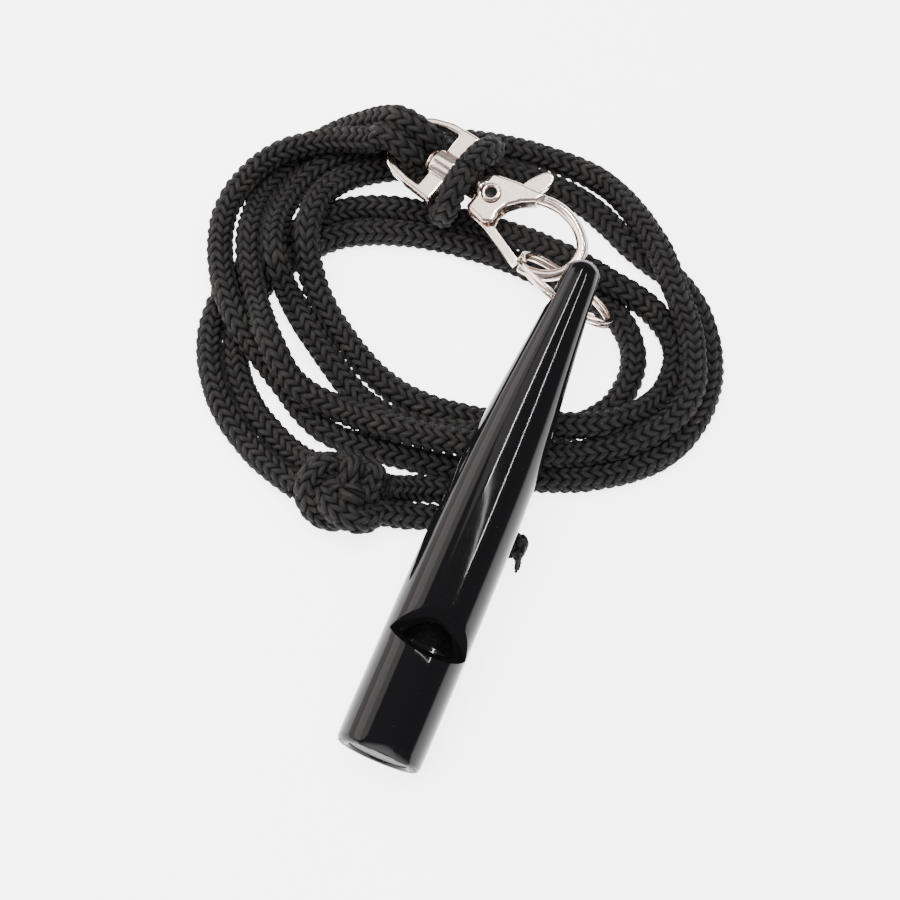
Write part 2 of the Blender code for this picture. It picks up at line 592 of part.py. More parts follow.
def cord_tube(name, points, material):
    """A round tube along the points."""
    tube = bpy.data.curves.new(name, "CURVE")
    tube.dimensions = "3D"
    tube.bevel_depth = CORD_RADIUS - GAP / 2
    tube.bevel_resolution = 2
    tube.use_fill_caps = True
    line = tube.splines.new("POLY")
    line.points.add(len(points) - 1)
    for point, where in zip(line.points, points):
        point.co = (*where, 1)
    place(name, tube, material)


def build_cord(yarn):
    """The doubled cord, its knot and its two loose tails."""
    names = ("lanyard_strand_outer", "lanyard_strand_inner", "lanyard_tail_upper", "lanyard_tail_lower")
    routes = []
    for given in (OUTER_ROUTE, INNER_ROUTE, UPPER_TAIL, LOWER_TAIL):
        smooth = curved(np.array(given) * MM, 8)
        length = np.linalg.norm(np.diff(smooth, axis=0), axis=1).sum()
        routes.append(spaced(smooth, round(length / ROUTE_STEP) + 1))
    for name, route in zip(names, settled(routes)):
        cord_tube(name, thinned(route), yarn)
    bm = bmesh.new()
    bmesh.ops.create_icosphere(bm, subdivisions=3, radius=1)
    for vert in bm.verts:
        turn = math.atan2(vert.co.y, vert.co.x)
        vert.co *= 1 + KNOT_LUMP * math.sin(3 * turn + 4 * vert.co.z) * math.cos(1.4 * vert.co.z)
    bmesh.ops.scale(bm, vec=KNOT_HALF, verts=bm.verts)
    knot = place("lanyard_knot", mesh_from(bm, "lanyard_knot"), yarn)
    knot.location = KNOT_CENTRE


def main():
    """Builds the whole object."""
    clear_scene()
    plastic = finish("black_plastic", (0.012, 0.012, 0.015), 0.18)
    metal = finish("nickel_plate", (0.78, 0.74, 0.71), 0.2, 1.0)
    yarn = finish("black_cord", (0.02, 0.02, 0.022), 0.8)
    build_whistle(plastic)
    build_ring(metal)
    build_snap(metal)
    build_cord(yarn)


main()
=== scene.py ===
"""A dog-training whistle on a knitted neck cord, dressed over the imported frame.

Everything is in metres, +Z up, standing on z = 0, with +Y along the whistle towards its tip.
The cord comes first, because its length and lie are checked; then the whistle, the split ring
and the swivel snap replace their plain solids with finely made ones.
"""

from __future__ import annotations

import logging
import math
from dataclasses import dataclass, field
from enum import Enum

import bmesh
import bpy
import numpy as np
from mathutils import Matrix, Vector


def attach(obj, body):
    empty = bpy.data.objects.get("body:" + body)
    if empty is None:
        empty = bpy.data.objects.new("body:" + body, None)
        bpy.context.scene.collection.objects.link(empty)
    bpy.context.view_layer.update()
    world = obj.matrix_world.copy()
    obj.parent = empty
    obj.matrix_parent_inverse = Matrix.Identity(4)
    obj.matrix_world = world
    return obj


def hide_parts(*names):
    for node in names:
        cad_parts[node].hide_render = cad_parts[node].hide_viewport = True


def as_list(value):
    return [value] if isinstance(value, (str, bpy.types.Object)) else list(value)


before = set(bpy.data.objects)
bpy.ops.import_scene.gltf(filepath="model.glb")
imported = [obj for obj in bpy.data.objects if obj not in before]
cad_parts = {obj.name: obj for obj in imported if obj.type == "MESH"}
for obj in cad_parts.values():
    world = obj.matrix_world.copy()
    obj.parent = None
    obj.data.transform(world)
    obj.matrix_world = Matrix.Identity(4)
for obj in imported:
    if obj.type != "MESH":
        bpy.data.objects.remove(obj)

MM = 0.001
LOG = logging.getLogger("whistle")


class Slot(Enum):
    """The record's material slots."""

    PLASTIC = "black_plastic"
    NICKEL = "nickel_plate"
    SPRING = "spring_steel"
    CORD = "black_cord"


class Body(Enum):
    """The rigid bodies that pieces ride on."""

    LANYARD = "lanyard"
    HOOK = "hook"
    GATE = "gate"
    RING = "ring"
    WHISTLE = "whistle"


# ---------------------------------------------------------------- shader graph


class Wire:
    """A socket that carries a number, with arithmetic that adds Math nodes."""

    def __init__(self, graph: Graph, socket: bpy.types.NodeSocket) -> None:
        """Keeps the graph and the socket."""
        self.graph = graph
        self.socket = socket

    def _math(self, operation: str, *values: Wire | float) -> Wire:
        """Adds one Math node.

        Args:
            operation: the Math node's operation.
            values: its inputs in order.

        Returns:
            The node's result.
        """
        settings = {"operation": operation}
        made = self.graph.node("ShaderNodeMath", settings, dict(enumerate(values)))
        return Wire(self.graph, made.outputs[0])

    def __add__(self, other: Wire | float) -> Wire:
        """Sum."""
        return self._math("ADD", self, other)

    __radd__ = __add__

    def __sub__(self, other: Wire | float) -> Wire:
        """Difference."""
        return self._math("SUBTRACT", self, other)

    def __rsub__(self, other: Wire | float) -> Wire:
        """Difference with the number first."""
        return self._math("SUBTRACT", other, self)

    def __mul__(self, other: Wire | float) -> Wire:
        """Product."""
        return self._math("MULTIPLY", self, other)

    __rmul__ = __mul__

    def __pow__(self, other: Wire | float) -> Wire:
        """Power."""
        return self._math("POWER", self, other)

    def __abs__(self) -> Wire:
        """Absolute value."""
        return self._math("ABSOLUTE", self)

    def fraction(self) -> Wire:
        """What is left after the whole part."""
        return self._math("FRACT", self)

    def sine(self) -> Wire:
        """Sine of radians."""
        return self._math("SINE", self)

    def least(self, low: float) -> Wire:
        """At least this much."""
        return self._math("MAXIMUM", self, low)

    def ramp(self, low: float, high: float, first: float = 0.0, last: float = 1.0) -> Wire:
        """Eases from one value to another between two inputs.

        Args:
            low: the input where it starts.
            high: the input where it ends.
            first: the value at and before the start.
            last: the value at and after the end.

        Returns:
            The eased value.
        """
        made = self.graph.node(
            "ShaderNodeMapRange",
            {"interpolation_type": "SMOOTHSTEP"},
            {"Value": self, "From Min": low, "From Max": high, "To Min": first, "To Max": last},
        )
        return Wire(self.graph, made.outputs["Result"])


class Graph:
    """The node tree of one material, round one Principled shader."""

    def __init__(self, name: str) -> None:
        """Starts a material of this name."""
        self.material = bpy.data.materials.new(name)
        self.material.use_nodes = True
        self.tree = self.material.node_tree
        self.shader = self.tree.nodes["Principled BSDF"]

    def node(
        self, kind: str, settings: dict[str, object], inputs: dict[str | int, object]
    ) -> bpy.types.Node:
        """Adds a node.

        Args:
            kind: the node's type.
            settings: its properties, set first.
            inputs: the values or links of its sockets, by name or index.

        Returns:
            The node.
        """
        made = self.tree.nodes.new(kind)
        for name, value in settings.items():
            setattr(made, name, value)
        for name, value in inputs.items():
            self.feed(made.inputs[name], value)
        return made

    def feed(self, socket: bpy.types.NodeSocket, value: object) -> None:
        """Links a wire or socket into this socket, or sets its plain value."""
        if isinstance(value, Wire):
            value = value.socket
        if isinstance(value, bpy.types.NodeSocket):
            self.tree.links.new(value, socket)
        elif isinstance(value, tuple) and len(value) == 3 and socket.type == "RGBA":
            socket.default_value = (*value, 1.0)
        else:
            socket.default_value = value

    def place(self) -> bpy.types.NodeSocket:
        """Object coordinates, in metres."""
        return self.node("ShaderNodeTexCoord", {}, {}).outputs["Object"]

    def weave_place(self) -> tuple[Wire, Wire]:
        """The two numbers of the stitch map: across the wales and along the stitches."""
        made = self.node("ShaderNodeUVMap", {"uv_map": "stitch"}, {})
        parts = self.node("ShaderNodeSeparateXYZ", {}, {0: made.outputs[0]})
        return Wire(self, parts.outputs[0]), Wire(self, parts.outputs[1])

    def noise(
        self, scale: float, detail: float = 3.0, roughness: float = 0.5, where: object = None
    ) -> Wire:
        """Noise from 0 to 1.

        Args:
            scale: features per metre, or per unit of the given coordinates.
            detail: octaves.
            roughness: how strong the finer octaves are.
            where: coordinates; the object's own when left out.

        Returns:
            The noise value.
        """
        inputs = {"Vector": where or self.place(), "Scale": scale}
        inputs |= {"Detail": detail, "Roughness": roughness}
        return Wire(self, self.node("ShaderNodeTexNoise", {}, inputs).outputs[0])

    def blend(self, first: object, second: object, share: Wire | float) -> bpy.types.NodeSocket:
        """Mixes two colours.

        Args:
            first: the colour at 0.
            second: the colour at 1.
            share: how much of the second.

        Returns:
            The mixed colour's socket.
        """
        made = self.tree.nodes.new("ShaderNodeMix")
        made.data_type = "RGBA"
        self.feed(made.inputs[0], share)
        self.feed(made.inputs[6], first)
        self.feed(made.inputs[7], second)
        return made.outputs[2]

    def bump(self, height: Wire, distance: float, strength: float = 1.0) -> None:
        """Feeds the shader's normal from a height."""
        inputs = {"Height": height, "Distance": distance, "Strength": strength}
        made = self.node("ShaderNodeBump", {}, inputs)
        self.feed(self.shader.inputs["Normal"], made.outputs[0])

    def shade(self, **inputs: object) -> bpy.types.Material:
        """Sets the shader's inputs, with underscores for spaces, and gives the material."""
        for name, value in inputs.items():
            self.feed(self.shader.inputs[name.replace("_", " ")], value)
        return self.material


# -------------------------------------------------------------------- finishes


@dataclass(frozen=True)
class GlossPlastic:
    """Black moulded plastic, polished, with faint flow waves, dust and handling marks."""

    colour: tuple[float, float, float] = (0.0030, 0.0029, 0.0033)
    polish: float = 0.075
    haze: float = 0.05

    def make(self) -> bpy.types.Material:
        """Returns the material."""
        graph = Graph("gloss_plastic")
        waves = graph.noise(140, 2)
        grain = graph.noise(5200, 2)
        rubs = graph.noise(420, 5, 0.68)
        dust = graph.noise(2600, 2, 0.5).ramp(0.74, 0.8)
        graph.bump(waves + grain * 0.012, 0.00006, 0.42)
        colour = graph.blend(self.colour, (0.05, 0.05, 0.055), dust * 0.5)
        rough = self.polish + self.haze * rubs.ramp(0.5, 0.8) + dust * 0.2
        return graph.shade(Base_Color=colour, Roughness=rough, IOR=1.25)


@dataclass(frozen=True)
class MattMoulding:
    """The unpolished inside of the moulding: the air column's wall and the flat mouth end."""

    def make(self) -> bpy.types.Material:
        """Returns the material."""
        graph = Graph("matt_moulding")
        grain = graph.noise(3000, 3)
        graph.bump(grain, 0.00002, 0.4)
        share = grain.ramp(0.4, 0.7)
        colour = graph.blend((0.004, 0.0038, 0.0038), (0.012, 0.011, 0.010), share)
        return graph.shade(
            Base_Color=colour, Roughness=0.38 + 0.2 * grain, Specular_IOR_Level=0.16
        )


@dataclass(frozen=True)
class NickelPlate:
    """Bright nickel plating over a die casting, slightly warm, with soft casting ripples."""

    colour: tuple[float, float, float] = (0.79, 0.665, 0.575)
    tarnish: tuple[float, float, float] = (0.50, 0.405, 0.335)
    polish: float = 0.13
    ripple: float = 0.00004

    def make(self) -> bpy.types.Material:
        """Returns the material."""
        graph = Graph("nickel_plate")
        ripples = graph.noise(620, 2)
        pits = graph.noise(3800, 2).ramp(0.3, 0.42)
        stain = graph.noise(310, 4, 0.62).ramp(0.46, 0.74)
        graph.bump(ripples + pits * 0.1, self.ripple, 0.6)
        colour = graph.blend(self.colour, self.tarnish, stain * 0.45)
        rough = self.polish + stain * 0.12 + (1 - pits) * 0.15
        return graph.shade(Base_Color=colour, Metallic=1.0, Roughness=rough)


@dataclass(frozen=True)
class SpringSteel:
    """Plain drawn wire with fine lines along it."""

    colour: tuple[float, float, float] = (0.5, 0.49, 0.47)

    def make(self) -> bpy.types.Material:
        """Returns the material."""
        graph = Graph("spring_steel")
        lines = graph.noise(2400, 3, 0.6)
        graph.bump(lines, 0.00001, 0.4)
        colour = graph.blend(self.colour, (0.3, 0.28, 0.26), lines.ramp(0.45, 0.7))
        return graph.shade(Base_Color=colour, Metallic=1.0, Roughness=0.24 + 0.14 * lines)


@dataclass(frozen=True)
class KnitSizes:
    """The knitted cover: columns of V stitches round the cord."""

    wales: int = 5
    pitch: float = 1.62 * MM
    slope: float = 0.72
    relief: float = 0.68 * MM


@dataclass(frozen=True)
class KnittedYarn:
    """Charcoal polyester yarn, knitted, with stray brown and green threads and lint, and painted
    shade that darkens the grooves between the stitches.
    """

    knit: KnitSizes = KnitSizes()
    painted_groove_shade: tuple[float, float, float] = (0.0012, 0.0011, 0.0011)
    high: tuple[float, float, float] = (0.0225, 0.0217, 0.0217)
    brown: tuple[float, float, float] = (0.027, 0.0235, 0.0208)
    green: tuple[float, float, float] = (0.018, 0.0215, 0.0185)
    lint_colour: tuple[float, float, float] = (0.16, 0.15, 0.14)

    def make(self) -> bpy.types.Material:
        """Returns the material."""
        graph = Graph("knitted_yarn")
        across, along = graph.weave_place()
        leg = abs(across.fraction() - 0.5) * 2
        course = along - self.knit.slope * leg
        offset = abs(course.fraction() - 0.5) * 2
        yarn = (1 - offset * offset).least(0.0) ** 0.5
        spot = graph.node("ShaderNodeCombineXYZ", {}, {0: across * 1.5, 1: course * 9.0, 2: leg})
        fibres = graph.noise(1.6, 3, 0.6, spot.outputs[0])
        tint = graph.noise(330, 2, 0.5)
        lint = graph.noise(1500, 2, 0.45).ramp(0.735, 0.775)
        # painted shade: the colour darkens to near black in the grooves between the yarn ridges
        ridge = (yarn * (0.55 + 0.45 * (leg * math.pi).sine())).ramp(0.15, 0.95)
        colour = graph.blend(self.painted_groove_shade, self.high, ridge * (0.35 + 0.65 * fibres.ramp(0.3, 0.72)))
        colour = graph.blend(colour, self.brown, ridge * tint.ramp(0.54, 0.72) * 0.6)
        colour = graph.blend(colour, self.green, ridge * tint.ramp(0.44, 0.3) * 0.5)
        colour = graph.blend(colour, self.lint_colour, lint * 0.3)
        graph.bump(yarn * 0.8 + fibres * 0.3, 0.00042, 0.9)
        return graph.shade(
            Base_Color=colour, Roughness=0.55 + 0.26 * fibres, Specular_IOR_Level=0.1
        )


@dataclass(frozen=True)
class LooseFibre:
    """Single hairs and yarn ends that stand off the cord."""

    def make(self) -> bpy.types.Material:
        """Returns the material."""
        graph = Graph("loose_fibre")
        shade = graph.noise(900, 2)
        share = shade.ramp(0.35, 0.7)
        colour = graph.blend((0.004, 0.0038, 0.0038), (0.024, 0.021, 0.019), share)
        return graph.shade(
            Base_Color=colour, Roughness=0.55 + 0.3 * shade, Specular_IOR_Level=0.1
        )


@dataclass(frozen=True)
class PaintedBoreShade:
    """Painted shade for the inside of the eyelet: a near-black mottled colour standing in for the
    shade deep in the bore.
    """

    def make(self) -> bpy.types.Material:
        """Returns the material."""
        graph = Graph("painted_bore_shade")
        # painted shade: the bore's colour is near black, mottled, where only shade falls
        bore_shade_mottle = graph.noise(2600, 3)
        colour = graph.blend((0.006, 0.005, 0.005), (0.03, 0.025, 0.022), bore_shade_mottle)
        return graph.shade(Base_Color=colour, Roughness=0.6 + 0.3 * bore_shade_mottle)


@dataclass(frozen=True)
class PaintedGlowFloor:
    """The smooth pale table with a painted glow: it emits light, bright in a pool round the object
    and dim further out.
    """

    colour: tuple[float, float, float] = (0.9, 0.885, 0.91)
    glow: float = 3.7
    pool: tuple[float, float] = (0.085, 0.30)

    def make(self) -> bpy.types.Material:
        """Returns the material."""
        graph = Graph("painted_glow_floor")
        fleck = graph.noise(60, 2)
        # Paints shade on the inside of the eyelet, as a second material on the bore's faces.
        colour = graph.blend(self.colour, (0.88, 0.87, 0.9), fleck)
        reach = graph.node("ShaderNodeVectorMath", {"operation": "LENGTH"}, {0: graph.place()})
        fade = Wire(graph, reach.outputs["Value"]).ramp(*self.pool)
        return graph.shade(
            Base_Color=colour,
            Roughness=0.7 + 0.1 * fleck,
            # painted glow: the floor emits light, bright in a pool round the object and dim further
            # out, lighting things from below
            Emission_Color=graph.blend((1.0, 0.985, 0.995), (0.09, 0.09, 0.095), fade),
            Emission_Strength=self.glow,
        )


# -------------------------------------------------------------------- geometry


def smooth_line(points: np.ndarray, per_span: int = 8, closed: bool = False) -> np.ndarray:
    """A centripetal Catmull-Rom curve.

    Args:
        points: the points that it passes through.
        per_span: samples between two of them.
        closed: whether it joins its own start.

    Returns:
        The sampled points.
    """
    given = [np.array(p, float) for p in points]
    if closed:
        given = [given[-1], *given, given[0], given[1]]
    else:
        given = [2 * given[0] - given[1], *given, 2 * given[-1] - given[-2]]
    found = []
    for p0, p1, p2, p3 in zip(given, given[1:], given[2:], given[3:]):
        t0, t1 = 0.0, math.sqrt(np.linalg.norm(p1 - p0))
        t2 = t1 + math.sqrt(np.linalg.norm(p2 - p1))
        t3 = t2 + math.sqrt(np.linalg.norm(p3 - p2))
        for t in np.linspace(t1, t2, per_span, endpoint=False):
            a1 = (t1 - t) / (t1 - t0) * p0 + (t - t0) / (t1 - t0) * p1
            a2 = (t2 - t) / (t2 - t1) * p1 + (t - t1) / (t2 - t1) * p2
            a3 = (t3 - t) / (t3 - t2) * p2 + (t - t2) / (t3 - t2) * p3
            b1 = (t2 - t) / (t2 - t0) * a1 + (t - t0) / (t2 - t0) * a2
            b2 = (t3 - t) / (t3 - t1) * a2 + (t - t1) / (t3 - t1) * a3
            found.append((t2 - t) / (t2 - t1) * b1 + (t - t1) / (t2 - t1) * b2)
    if not closed:
        found.append(given[-2])
    return np.array(found)


def line_length(points: np.ndarray) -> float:
    """Length along the points."""
    return float(np.linalg.norm(np.diff(points, axis=0), axis=1).sum())


def evenly(points: np.ndarray, count: int) -> np.ndarray:
    """The same line read at this many evenly spaced points."""
    steps = np.linalg.norm(np.diff(points, axis=0), axis=1)
    travelled = np.concatenate([[0], np.cumsum(steps)])
    wanted = np.linspace(0, travelled[-1], count)
    return np.stack([np.interp(wanted, travelled, column) for column in points.T], axis=1)


def carried_frames(path: np.ndarray) -> tuple[np.ndarray, np.ndarray]:
    """Two directions square to a path that turn with it and never spin about it.

    Args:
        path: points close together.

    Returns:
        The first and the second direction at each point.
    """
    along = np.gradient(path, axis=0)
    along /= np.linalg.norm(along, axis=1)[:, None]
    side = np.cross(along[0], (0, 0, 1.0))
    side /= np.linalg.norm(side)
    sides = [side]
    for direction in along[1:]:
        side = side - direction * (side @ direction)
        side = side / np.linalg.norm(side)
        sides.append(side)
    sides = np.array(sides)
    return sides, np.cross(along, sides)


def swept(path: np.ndarray, width: np.ndarray | float, angle: np.ndarray) -> np.ndarray:
    """Rings round a path.

    Args:
        path: points close together.
        width: the radius, one or an array of rings by angles.
        angle: where the points of a ring lie, in radians, one row or a row for each ring.

    Returns:
        An array of rings by points by three.
    """
    side, up = carried_frames(path)
    turn = np.atleast_2d(angle)[..., None]
    outward = np.cos(turn) * side[:, None] + np.sin(turn) * up[:, None]
    return path[:, None] + np.asarray(width)[..., None] * outward


def loft(name: str, rings: np.ndarray, capped: bool = True) -> bpy.types.Mesh:
    """A skin over closed rings.

    Args:
        name: the mesh's name.
        rings: an array of rings by points by three.
        capped: whether the first and last rings are filled.

    Returns:
        The mesh.
    """
    count, around = rings.shape[:2]
    index = np.arange(count * around).reshape(count, around)
    nxt = np.roll(index, -1, axis=1)
    quads = np.stack([index[:-1], nxt[:-1], nxt[1:], index[1:]], axis=-1).reshape(-1, 4)
    faces = quads.tolist()
    if capped:
        faces += [index[0][::-1].tolist(), index[-1].tolist()]
    mesh = bpy.data.meshes.new(name)
    mesh.from_pydata(rings.reshape(-1, 3).tolist(), [], faces)
    return righted(mesh)


def finished(name: str, bm: bmesh.types.BMesh) -> bpy.types.Mesh:
    """Turns a working mesh into a named one and frees it."""
    mesh = bpy.data.meshes.new(name)
    bm.to_mesh(mesh)
    bm.free()
    return mesh


def righted(mesh: bpy.types.Mesh) -> bpy.types.Mesh:
    """Turns a closed mesh's normals out."""
    bm = bmesh.new()
    bm.from_mesh(mesh)
    bmesh.ops.recalc_face_normals(bm, faces=bm.faces)
    bm.to_mesh(mesh)
    bm.free()
    return mesh


class Axis(Enum):
    """The local axis that a turned form goes round, as the rotation from +Y."""

    X = (math.radians(-90), "Z")
    Y = (0.0, "Z")
    Z = (math.radians(90), "X")


def turned(
    name: str, profile: list[tuple[float, float]], segments: int = 64, axis: Axis = Axis.Y
) -> bpy.types.Mesh:
    """A solid of revolution.

    Args:
        name: the mesh's name.
        profile: (distance along, radius) pairs; with no zero radius it closes on itself.
        segments: divisions round the axis.
        axis: the axis it goes round.

    Returns:
        The mesh.
    """
    bm = bmesh.new()
    rings = []
    for along, radius in profile:
        if radius < 1e-7:
            rings.append([bm.verts.new((0, along, 0))])
            continue
        angles = [2 * math.pi * k / segments for k in range(segments)]
        spots = [(radius * math.cos(a), along, radius * math.sin(a)) for a in angles]
        rings.append([bm.verts.new(spot) for spot in spots])
    pairs = list(zip(rings, rings[1:]))
    if len(rings[0]) > 1 and len(rings[-1]) > 1:
        pairs.append((rings[-1], rings[0]))
    for first, second in pairs:
        for k in range(segments):
            corners = [first[k % len(first)], first[(k + 1) % len(first)]]
            corners += [second[(k + 1) % len(second)], second[k % len(second)]]
            kept = list(dict.fromkeys(corners))
            if len(kept) > 2:
                bm.faces.new(kept)
    bmesh.ops.recalc_face_normals(bm, faces=bm.faces)
    mesh = finished(name, bm)
    mesh.transform(Matrix.Rotation(axis.value[0], 4, axis.value[1]))
    return mesh


def cylinder(
    name: str, start: float, end: float, radius: float, segments: int, axis: Axis
) -> bpy.types.Mesh:
    """A plain cylinder on an axis between two distances along it."""
    profile = [(start, 0), (start, radius), (end, radius), (end, 0)]
    return turned(name, profile, segments, axis)


def plate(name: str, outline: np.ndarray, low: float, high: float) -> bpy.types.Mesh:
    """Extrudes an outline in mm along +Z between two heights in metres."""
    flat = np.array(outline, float)[:, :2] * MM
    rings = np.stack([np.column_stack([flat, np.full(len(flat), z)]) for z in (low, high)])
    return loft(name, rings)


def wedge(name: str, outline: list[tuple[float, float]], half: float = 12 * MM) -> bpy.types.Mesh:
    """A prism across the whistle from a (y, z) outline."""
    rings = np.array([[(x, y, z) for y, z in outline] for x in (-half, half)])
    return loft(name, rings)


def rod(name: str, stations: np.ndarray, per_span: int = 6, around: int = 24) -> bpy.types.Mesh:
    """A rod in the plane z = 0.

    Args:
        name: the mesh's name.
        stations: (x, y, half width, half height) rows in mm.
        per_span: rings between two stations.
        around: points in a ring.

    Returns:
        The mesh.
    """
    rows = smooth_line(stations, per_span) * MM
    along = np.gradient(rows[:, :2], axis=0)
    along /= np.linalg.norm(along, axis=1)[:, None]
    angle = np.linspace(0, 2 * math.pi, around, endpoint=False)
    wide, high = rows[:, 2:3] * np.cos(angle), rows[:, 3:4] * np.sin(angle)
    across = (rows[:, 0:1] - along[:, 1:] * wide, rows[:, 1:2] + along[:, :1] * wide)
    return loft(name, np.stack([*across, high], axis=-1))


def linked(name: str, data: bpy.types.ID) -> bpy.types.Object:
    """Puts new data into the scene as an object."""
    item = bpy.data.objects.new(name, data)
    bpy.context.scene.collection.objects.link(item)
    return item


def placed(mesh: bpy.types.Mesh, matrix: Matrix) -> bpy.types.Mesh:
    """Moves a mesh and gives it back."""
    mesh.transform(matrix)
    return mesh


class Casting:
    """A mesh under work: it is cut, joined, rounded and smoothed in turn."""

    def __init__(self, mesh: bpy.types.Mesh) -> None:
        """Starts from a closed mesh."""
        self.item = linked(mesh.name, mesh)

    def _apply(self, kind: str, **settings: object) -> Casting:
        """Adds one modifier and applies it."""
        step = self.item.modifiers.new("step", kind)
        for name, value in settings.items():
            setattr(step, name, value)
        seen = self.item.evaluated_get(bpy.context.evaluated_depsgraph_get())
        made = bpy.data.meshes.new_from_object(seen)
        self.item.modifiers.clear()
        old, self.item.data = self.item.data, made
        name = old.name
        bpy.data.meshes.remove(old)
        made.name = name
        return self

    def _boolean(self, mesh: bpy.types.Mesh, operation: str) -> Casting:
        """Joins or cuts with another closed mesh."""
        tool = linked("tool", mesh)
        self._apply("BOOLEAN", operation=operation, solver="EXACT", object=tool)
        bpy.data.objects.remove(tool)
        bpy.data.meshes.remove(mesh)
        return self

    def cut(self, *meshes: bpy.types.Mesh) -> Casting:
        """Takes these meshes away."""
        for mesh in meshes:
            self._boolean(mesh, "DIFFERENCE")
        return self

    def join(self, *meshes: bpy.types.Mesh) -> Casting:
        """Adds these meshes."""
        for mesh in meshes:
            self._boolean(mesh, "UNION")
        return self

    def rounded(self, width: float, segments: int = 3, angle: float = 40) -> Casting:
        """Rounds the sharp edges."""
        limit = math.radians(angle)
        return self._apply(
            "BEVEL", width=width, segments=segments, limit_method="ANGLE", angle_limit=limit
        )

    def cast(self, grain: float, rounds: int) -> Casting:
        """Melts the form into one skin with soft edges and fillets.

        Args:
            grain: the remesh size in metres.
            rounds: smoothing rounds.

        Returns:
            Itself.
        """
        self._apply("REMESH", mode="VOXEL", voxel_size=grain)
        return self._apply("SMOOTH", factor=0.6, iterations=rounds)

    def taken(self, matrix: Matrix) -> bpy.types.Mesh:
        """Gives the mesh, moved, and drops the working object."""
        mesh = self.item.data
        bpy.data.objects.remove(self.item)
        return placed(mesh, matrix)


@dataclass
class Shop:
    """Puts finished pieces on the frame."""

    finishes: dict[Slot, bpy.types.Material]

    def show(
        self,
        name: str,
        mesh: bpy.types.Mesh,
        body: Body,
        slot: Slot,
        nodes: tuple[str, ...] = (),
        sharp: float = 32,
        material: bpy.types.Material | None = None,
    ) -> bpy.types.Object:
        """Links a piece and makes it ride.

        Args:
            name: the piece's name.
            mesh: its mesh, in the frame.
            body: the body that carries it.
            slot: the record's slot that it takes its finish from.
            nodes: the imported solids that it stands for.
            sharp: edges over this angle in degrees stay sharp.
            material: another finish than the slot's.

        Returns:
            The piece.
        """
        piece = linked(name, mesh)
        mesh.materials.clear()
        mesh.materials.append(material or self.finishes[slot])
        mesh.shade_smooth()
        mesh.set_sharp_from_angle(angle=math.radians(sharp))
        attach(piece, body.value)
        if nodes:
            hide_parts(*nodes)
        LOG.info("%s: %d faces on %s", name, len(mesh.polygons), body.value)
        return piece


# ----------------------------------------------------------------------- poses


@dataclass
class Placing:
    """Where the three hard groups lie."""

    mouth: Vector = field(default_factory=lambda: Vector((14.15, -48.71, 6.2)) * MM)
    whistle_tilt: float = 8.3
    whistle_roll: float = 17.0
    whistle_yaw: float = -1.0
    ring_centre: Vector = field(default_factory=lambda: Vector((13.14, 28.02, 11.4)) * MM)
    ring_normal: Vector = field(default_factory=lambda: Vector((0.322, 0.752, 0.576)))
    rivet: Vector = field(default_factory=lambda: Vector((-3.3, 39.84, 9.23)) * MM)
    snap_turn: float = -15.0
    snap_rise: float = 2.5
    snap_roll: float = 8.0

    def whistle(self) -> Matrix:
        """From the whistle's own axes to the frame."""
        yaw = Matrix.Rotation(math.radians(self.whistle_yaw), 4, "Z")
        tilt = Matrix.Rotation(math.radians(self.whistle_tilt), 4, "X")
        roll = Matrix.Rotation(math.radians(self.whistle_roll), 4, "Y")
        return Matrix.Translation(self.mouth) @ yaw @ tilt @ roll

    def ring(self) -> Matrix:
        """From the ring's own plane to the frame."""
        turn = self.ring_normal.to_track_quat("Z", "Y").to_matrix().to_4x4()
        return Matrix.Translation(self.ring_centre) @ turn

    def snap(self) -> Matrix:
        """From the snap's own plane to the frame."""
        turn = Matrix.Rotation(math.radians(self.snap_turn), 4, "Z")
        rise = Matrix.Rotation(math.radians(-self.snap_rise), 4, "Y")
        roll = Matrix.Rotation(math.radians(self.snap_roll), 4, "X")
        return Matrix.Translation(self.rivet) @ turn @ rise @ roll


PLACING = Placing()

# The hook's arch and the eye, in the snap's plane in mm; the cord lies against them too.
ARCH = (
    (4.3, 2.2, 0.7, 0.8), (5.9, 3.4, 0.8, 1.0), (8.3, 4.1, 0.9, 1.3), (10.7, 4.1, 0.9, 1.3),
    (13.2, 3.4, 0.9, 1.2), (15.5, 1.9, 0.9, 1.1), (16.8, 0.2, 0.9, 1.0), (17.1, -1.5, 0.9, 1.0),
    (16.6, -3.7, 0.9, 0.95), (15.1, -5.6, 0.9, 0.9), (12.9, -6.7, 0.85, 0.85),
    (10.2, -7.1, 0.8, 0.8),
)
EYE_OUTER = (
    (-6.9, 6.7), (-12.0, 6.7), (-16.1, 5.2), (-18.1, 2.1), (-18.3, -1.7), (-17.0, -4.6),
    (-13.2, -5.8),
    (-7.6, -6.3),
)
EYE_INNER = (
    (-10.2, 5.4), (-12.6, 5.2), (-15.2, 4.2), (-16.6, 1.7), (-16.7, -1.3), (-15.6, -3.5),
    (-13.1, -4.5),
    (-10.7, -4.7),
)
RING_RADIUS = 8.2 * MM


# ------------------------------------------------------------------------ cord


